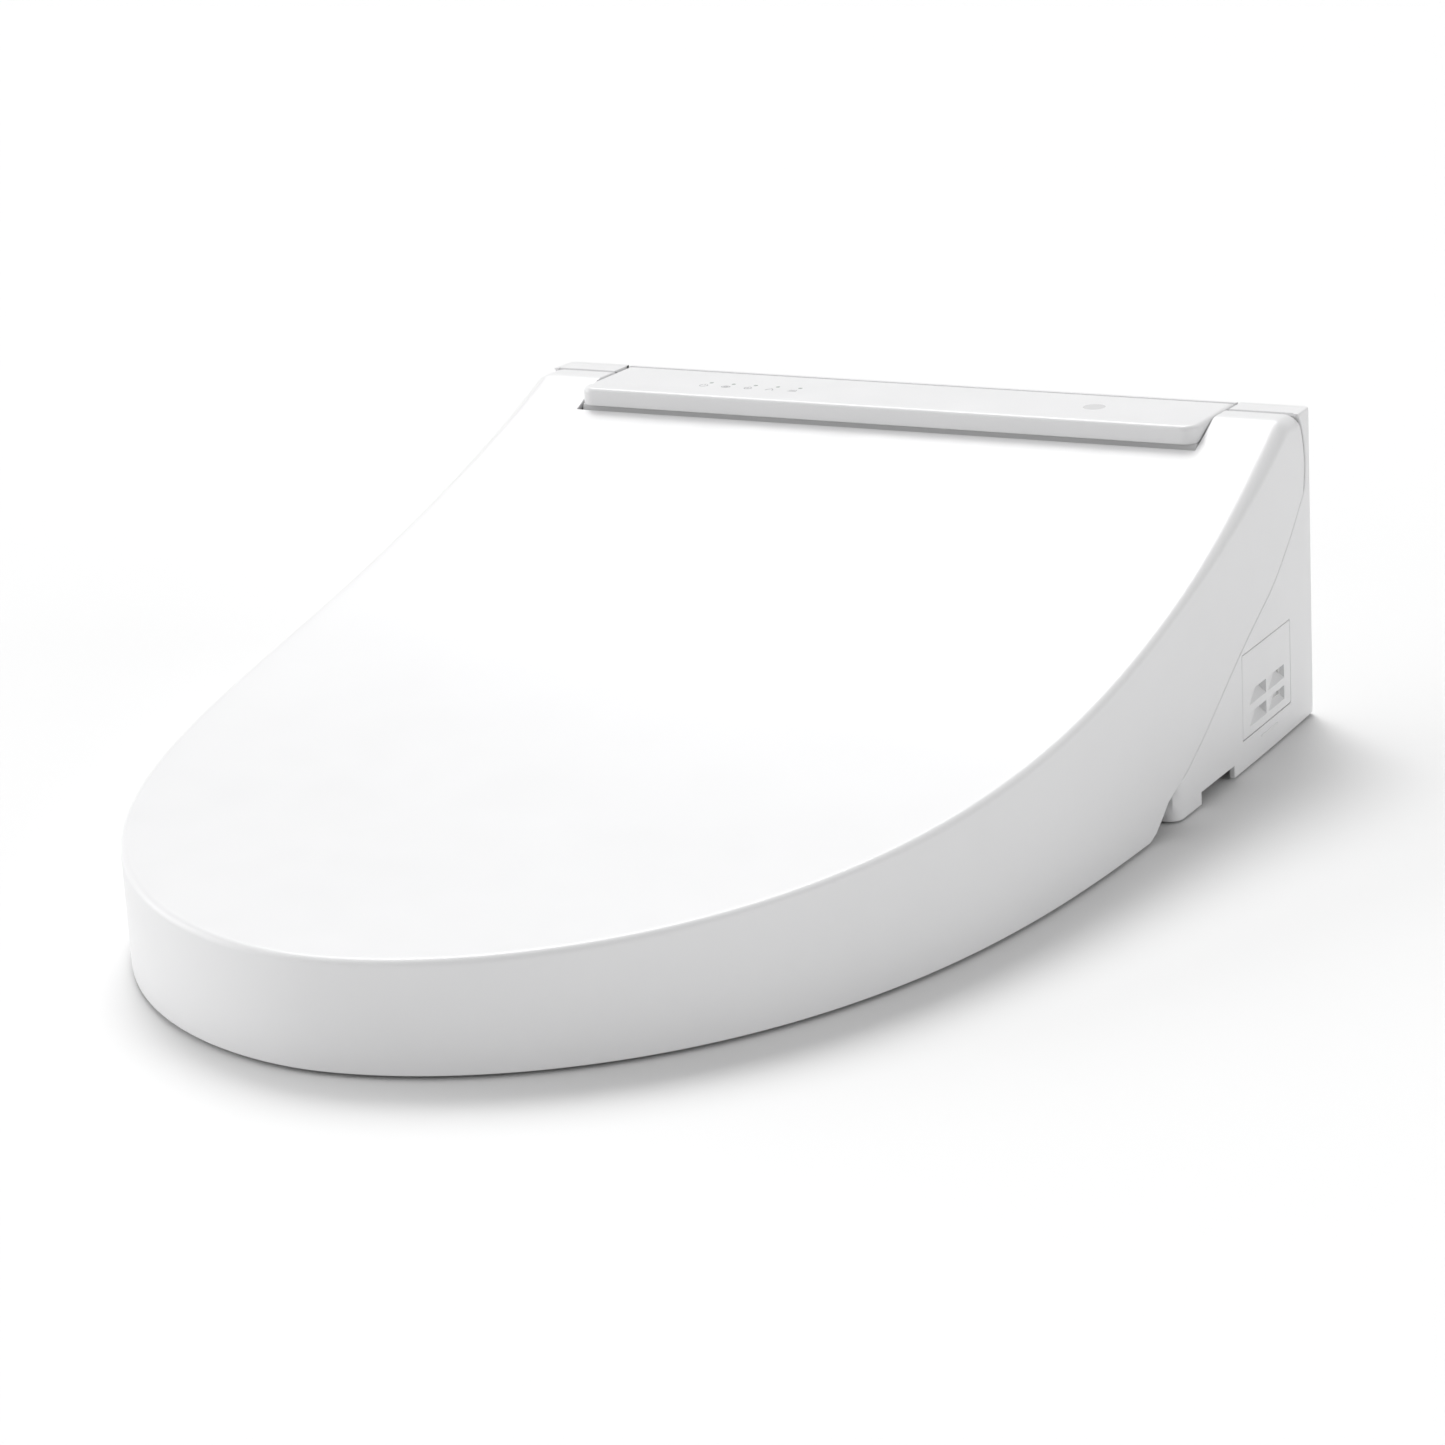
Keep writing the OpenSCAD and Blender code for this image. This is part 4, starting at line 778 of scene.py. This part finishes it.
# ---- control panel ----
PANEL_T = top_z - panel_lo[2]
panel_w = panel_hi[0]
PANEL_R = 7.0
PANEL_SINK = 0.06


def panel_outline(inset):
    """Plan of the panel, counter-clockwise, with round front corners."""
    w, y0, y1, r = panel_w - inset, panel_lo[1] + inset, rear_y - 2.2, PANEL_R - inset
    turn = [math.radians(9 * k) for k in range(11)]
    left = [(-w + r - r * math.sin(math.pi / 2 - a), y0 + r - r * math.cos(math.pi / 2 - a)) for a in turn]
    right = [(w - r + r * math.sin(a), y0 + r - r * math.cos(a)) for a in turn]
    front = [(x, y0) for x in np.linspace(-w + r, w - r, 40)[1:-1]]
    rear = [(x, y1) for x in np.linspace(w, -w, 40)]
    return left + front + right + rear


def place_top(points, depth):
    """Puts plan points on the panel's top; its front leans back round the hinge."""
    drop = max(depth - 1.0, 0.0)
    lean = 0.25 * (1 - drop / PANEL_T)
    return np.array([(x, y + (lean if y < 20 else 0), top_z - PANEL_SINK - depth) for x, y in points])


def make_panel():
    build = Builder()
    slab(build, place_top, panel_outline(0), PANEL_T, 2.2, 0.3, step=9, segments=6)
    panel = new_piece("control_panel_finish", "housing", build.points, build.faces, GLOSS,
                      ["control_panel"])
    rim = Builder()
    y0, y1 = rear_y - 1.9, rear_y
    loop = [(-core_hw, y0), (core_hw, y0), (core_hw, y1), (-core_hw, y1)]
    slab(rim, lambda p, d: np.array([(x, y, top_z - d) for x, y in p]), loop, PANEL_T, 0.4, 0.1)
    new_piece("rear_rim", "housing", rim.points, rim.faces, GLOSS)
    return panel


make_panel()

# ---- marks on the panel: five plain symbols with a light over each ----
INK = plastic("ink_grey", (0.33, 0.33, 0.34), 0.5, 0.005, 900)
LIGHT_X0, LIGHT_PITCH, LIGHT_Y = -97.0, 11.6, rear_y - 25


def stroke(build, points, closed=False, width=0.42):
    """A thin raised line along plan points."""
    pts = np.array(points, float)
    ahead = np.roll(pts, -1, axis=0) - pts
    behind = pts - np.roll(pts, 1, axis=0)
    if not closed:
        ahead[-1], behind[0] = behind[-1], ahead[0]
    along = ahead / np.linalg.norm(ahead, axis=1)[:, None] + behind / np.linalg.norm(behind, axis=1)[:, None]
    along /= np.linalg.norm(along, axis=1)[:, None]
    side = np.stack([-along[:, 1], along[:, 0]], 1) * width / 2
    z0, z1 = top_z - 0.15, top_z - 0.01
    rings = [np.column_stack([p, np.full(len(p), z)]) for p, z in
             ((pts - side, z0), (pts - side, z1), (pts + side, z1), (pts + side, z0), (pts - side, z0))]
    count = len(pts) + 1 if closed else len(pts)
    if closed:
        rings = [np.vstack([r, r[:1]]) for r in rings]
    n = len(build.points)
    build.add(np.vstack(rings), grid_faces(5, count))
    if not closed:
        m = count
        for i in (0, m - 1):
            build.faces.append(tuple(n + i + m * k for k in range(4)))


def curve(cx, cy, r, a0, a1, squeeze=1.0, n=14):
    """Arc round (cx, cy) from a0 to a1 degrees."""
    return [(cx + r * math.cos(math.radians(a0 + (a1 - a0) * k / n)),
             cy + squeeze * r * math.sin(math.radians(a0 + (a1 - a0) * k / n))) for k in range(n + 1)]


def make_marks():
    build = Builder()
    y = LIGHT_Y - 5.6
    x = [LIGHT_X0 + LIGHT_PITCH * i - 1.2 for i in range(5)]
    stroke(build, curve(x[0], y, 1.9, 125, 415))
    stroke(build, [(x[0], y + 0.4), (x[0], y + 2.4)])
    stroke(build, curve(x[1], y, 2.1, 0, 360, 0.75)[:-1], closed=True)
    stroke(build, curve(x[1], y, 0.9, 0, 360, 0.75)[:-1], closed=True)
    stroke(build, curve(x[2], y, 1.7, 150, 390))
    stroke(build, [(x[2] - 1.5, y + 0.85), (x[2], y + 2.5), (x[2] + 1.5, y + 0.85)])
    stroke(build, [(x[2], y - 0.8), (x[2], y + 0.6)])
    stroke(build, [(x[3] - 1.7, y - 1.7), (x[3] - 1.7, y - 0.4), (x[3], y + 1.9), (x[3] + 1.7, y - 0.4),
                   (x[3] + 1.7, y - 1.7)])
    for k in (-1, 0, 1):
        stroke(build, [(x[4] + 1.3 * k - 0.4, y + 0.2), (x[4] + 1.3 * k + 0.2, y + 1.1),
                       (x[4] + 1.3 * k - 0.1, y + 2.0)])
    stroke(build, [(x[4] - 2.2, y - 0.9), (x[4] + 2.2, y - 0.9)])
    return new_piece("panel_marks", "housing", build.points, build.faces, INK)


make_marks()

# ---- seat ----
SEAT_INSET, SEAT_SKIN, SEAT_RISE, SEAT_FRONT_Z = 11.0, 3.0, 20.0, 36.0
SEAT_INNER_R, SEAT_OUTER_R, DISH = 9.0, 6.0, 1.6
OPENING_POWER = 2.35
SEAT_COLS, FILLET_COLS, TOP_COLS = 240, 6, 10
SEAT_RIM, SEAT_BACK, CORNER_R = 66, 42, 7.0
SEAT_ARM_T, ARM_ROOT_Y, HUB_R, HUB_BORE_R = 14.0, rear_y - 190, 7.5, 5.2
BAY_ROOM_Z, BAY_ROOM_LIFT, BAY_ROOM_SIDE = 33.0, 5.1, 6
seat_foot_z = corners("seat_bottom")[0][2]
seat_rear_y = corners("seat_bottom")[1][1] + SEAT_SKIN + 0.2
bay_lo, bay_hi = corners("nozzle_bay_cover")
opening_hw = half_w - SEAT_INSET - SEAT_RIM
opening_front = front_y + SEAT_INSET + SEAT_RIM
opening_rear = seat_rear_y - SEAT_BACK
opening_mid = (opening_front + opening_rear) / 2
hub_x1 = corners("seat_bushes")[1][0]


def seat_top(y):
    """Height of the seat's top at y, before its dish."""
    return SEAT_FRONT_Z + SEAT_RISE * (y - front_y) / (seat_rear_y - front_y)


def seat_underside(x, y):
    """Height of the seat's lower edge, which steps up over the nozzle bay; and whether it does."""
    if abs(x) > bay_hi[0] + BAY_ROOM_SIDE or y < opening_rear - 30:
        return seat_foot_z, False
    t = max((y - bay_lo[1] - 4) / (core_lo[1] + 4 - bay_lo[1] - 4), 0.0)
    return BAY_ROOM_Z + t * (bay_hi[2] + BAY_ROOM_LIFT - BAY_ROOM_Z), True


def ray_to(loop, angle):
    """Distance from the middle of the opening to a loop, along an angle."""
    ux, uy = math.cos(angle), math.sin(angle)
    best = 0.0
    for (x0, y0), (x1, y1) in zip(loop, np.roll(loop, -1, axis=0)):
        ex, ey = x1 - x0, y1 - y0
        den = ux * ey - uy * ex
        if abs(den) < 1e-12:
            continue
        t = (x0 * ey - y0 * ex) / den
        s = (x0 * uy - y0 * ux) / den
        if t > 0 and -1e-9 <= s <= 1 + 1e-9:
            best = max(best, t)
    return best


def seat_loops():
    """Outer edge and opening of the seat round the opening's middle, counter-clockwise."""
    turn = np.linspace(0, math.pi / 2, 60)
    tip = widest_y - (widest_y - front_y) * np.sin(turn[::-1])
    ys = np.concatenate([tip, np.linspace(widest_y, seat_rear_y, 12)[1:]])
    side = [(float(half_outline(y)), y) for y in ys]
    lead = np.gradient(np.array(side), axis=0)
    normal = np.stack([-lead[:, 1], lead[:, 0]], 1) / np.linalg.norm(lead, axis=1)[:, None]
    edge = np.array(side) + normal * SEAT_INSET
    edge = edge[(edge[:, 0] > 0) & (edge[:, 1] < seat_rear_y - CORNER_R)]
    x_end = edge[-1][0]
    arc = [(x_end - CORNER_R + CORNER_R * math.cos(a), seat_rear_y - CORNER_R + CORNER_R * math.sin(a))
           for a in np.linspace(0, math.pi / 2, 8)]
    half = np.vstack([edge, arc])
    outer = np.vstack([half, half[::-1] * [-1, 1]]) - [0, opening_mid]
    a = np.linspace(0, 2 * math.pi, 160, endpoint=False)
    power = 2 / OPENING_POWER
    reach = (opening_rear - opening_front) / 2
    inner = np.stack([opening_hw * np.sign(np.cos(a)) * np.abs(np.cos(a)) ** power,
                      reach * np.sign(np.sin(a)) * np.abs(np.sin(a)) ** power], 1)
    return outer, inner


def seat_section(angle, r0, r1, inset):
    """Skin of the seat's rim along one ray, from the opening's foot over the top to the outer foot."""
    width = r1 - r0
    ri, ro = SEAT_INNER_R - inset, SEAT_OUTER_R - inset
    turns = np.linspace(0, math.pi / 2, FILLET_COLS + 1)
    path = [(inset, None)]
    path += [(inset + ri * (1 - math.cos(a)), ri * (1 - math.sin(a))) for a in turns]
    path += [(d, 0.0) for d in np.linspace(inset + ri, width - inset - ro, TOP_COLS + 1)[1:-1]]
    path += [(width - inset - ro * (1 - math.cos(a)), ro * (1 - math.sin(a))) for a in turns[::-1]]
    path += [(width - inset, None)]
    made = []
    for d, drop in path:
        x = (r0 + d) * math.cos(angle)
        y = opening_mid + (r0 + d) * math.sin(angle)
        foot, over_bay = seat_underside(x, y)
        if drop is None or (inset and over_bay):
            made.append((x, y, foot))
        else:
            made.append((x, y, seat_top(y) - DISH * (1 - d / width) ** 2 - inset - drop))
    return made


def seat_arm(build, sign):
    """Arm from the rim up to the hinge hub."""
    x0 = hub_x1 - SEAT_ARM_T
    rise = top_z / 140
    profile = [(ARM_ROOT_Y, seat_foot_z + 3), (seat_rear_y - 4, seat_foot_z + 3), (core_lo[1], 26 * rise),
               (rear_y - 75, 70 * rise), (hinge_y + 4, hinge_z - 9.5), (hinge_y + 3, hinge_z),
               (hinge_y - 3, hinge_z + 4), (hinge_y - 12, hinge_z), (rear_y - 95, 90 * rise),
               (seat_rear_y - 2, seat_top(seat_rear_y) + 1), (ARM_ROOT_Y, seat_top(ARM_ROOT_Y) - 1)]

    def place(points, depth):
        return np.array([(sign * (x0 + depth), y, z) for y, z in points])

    slab(build, place, profile, SEAT_ARM_T, 2.0, 2.0)
    ring = [math.radians(9 * k) for k in range(40)]
    hub = [(hinge_y + HUB_R * math.cos(a), hinge_z + HUB_R * math.sin(a)) for a in ring]
    bore = [(hinge_y + HUB_BORE_R * math.cos(a), hinge_z + HUB_BORE_R * math.sin(a)) for a in ring]
    slab(build, lambda p, d: place(p, d - 0.1), hub, SEAT_ARM_T + 0.2, 0.8, 0.8, holes=[bore])


def make_seat():
    build = Builder()
    outer, inner = seat_loops()
    sections = []
    for i in range(SEAT_COLS):
        angle = 2 * math.pi * (i + 0.5) / SEAT_COLS
        r0, r1 = ray_to(inner, angle), ray_to(outer, angle)
        skin, lining = seat_section(angle, r0, r1, 0.0), seat_section(angle, r0, r1, SEAT_SKIN)
        sections.append(np.array(skin + lining[::-1]))
    build.strip(sections + sections[:1])
    for sign in (1, -1):
        seat_arm(build, sign)
    return new_piece("seat_finish", "seat", build.points, build.faces, SEAT,
                     ["seat_top_shell"], sharp=40)


make_seat()

# Width of the softened edge, in millimetres, on CAD nodes that are kept
ROUNDED = {
    "seat_bottom": 0.8, "housing_cover": 0.8, "nozzle_bay_cover": 0.8, "chassis": 0.5,
    "base_plate": 0.5, "cartridge_tray": 0.4, "seat_bumpers": 0.6, "lid_pads": 0.4, "lid_ears": 0.5,
    "dryer_flap": 0.4, "drain_valve": 0.4, "inlet_port": 0.3, "cord_gland": 0.3, "wand_tip": 0.4,
    "wand_shield": 0.5, "base_pads": 0.5,
}


def round_edges(node, width):
    """Softens a CAD node's moulded edges with modifiers; its own mesh stays as it is."""
    weld = node.modifiers.new("weld", "WELD")
    weld.merge_threshold = 1e-6
    plain = node.modifiers.new("plain", "DECIMATE")
    plain.decimate_type = "DISSOLVE"
    plain.angle_limit = math.radians(0.5)
    bevel(node, width, angle=40, segments=3)


for name, width in ROUNDED.items():
    round_edges(frame["nodes"][name], width)

slots = slot_of_nodes()
for name, node in frame["nodes"].items():
    node.data.materials.clear()
    node.data.materials.append(BY_SLOT[slots[name]])
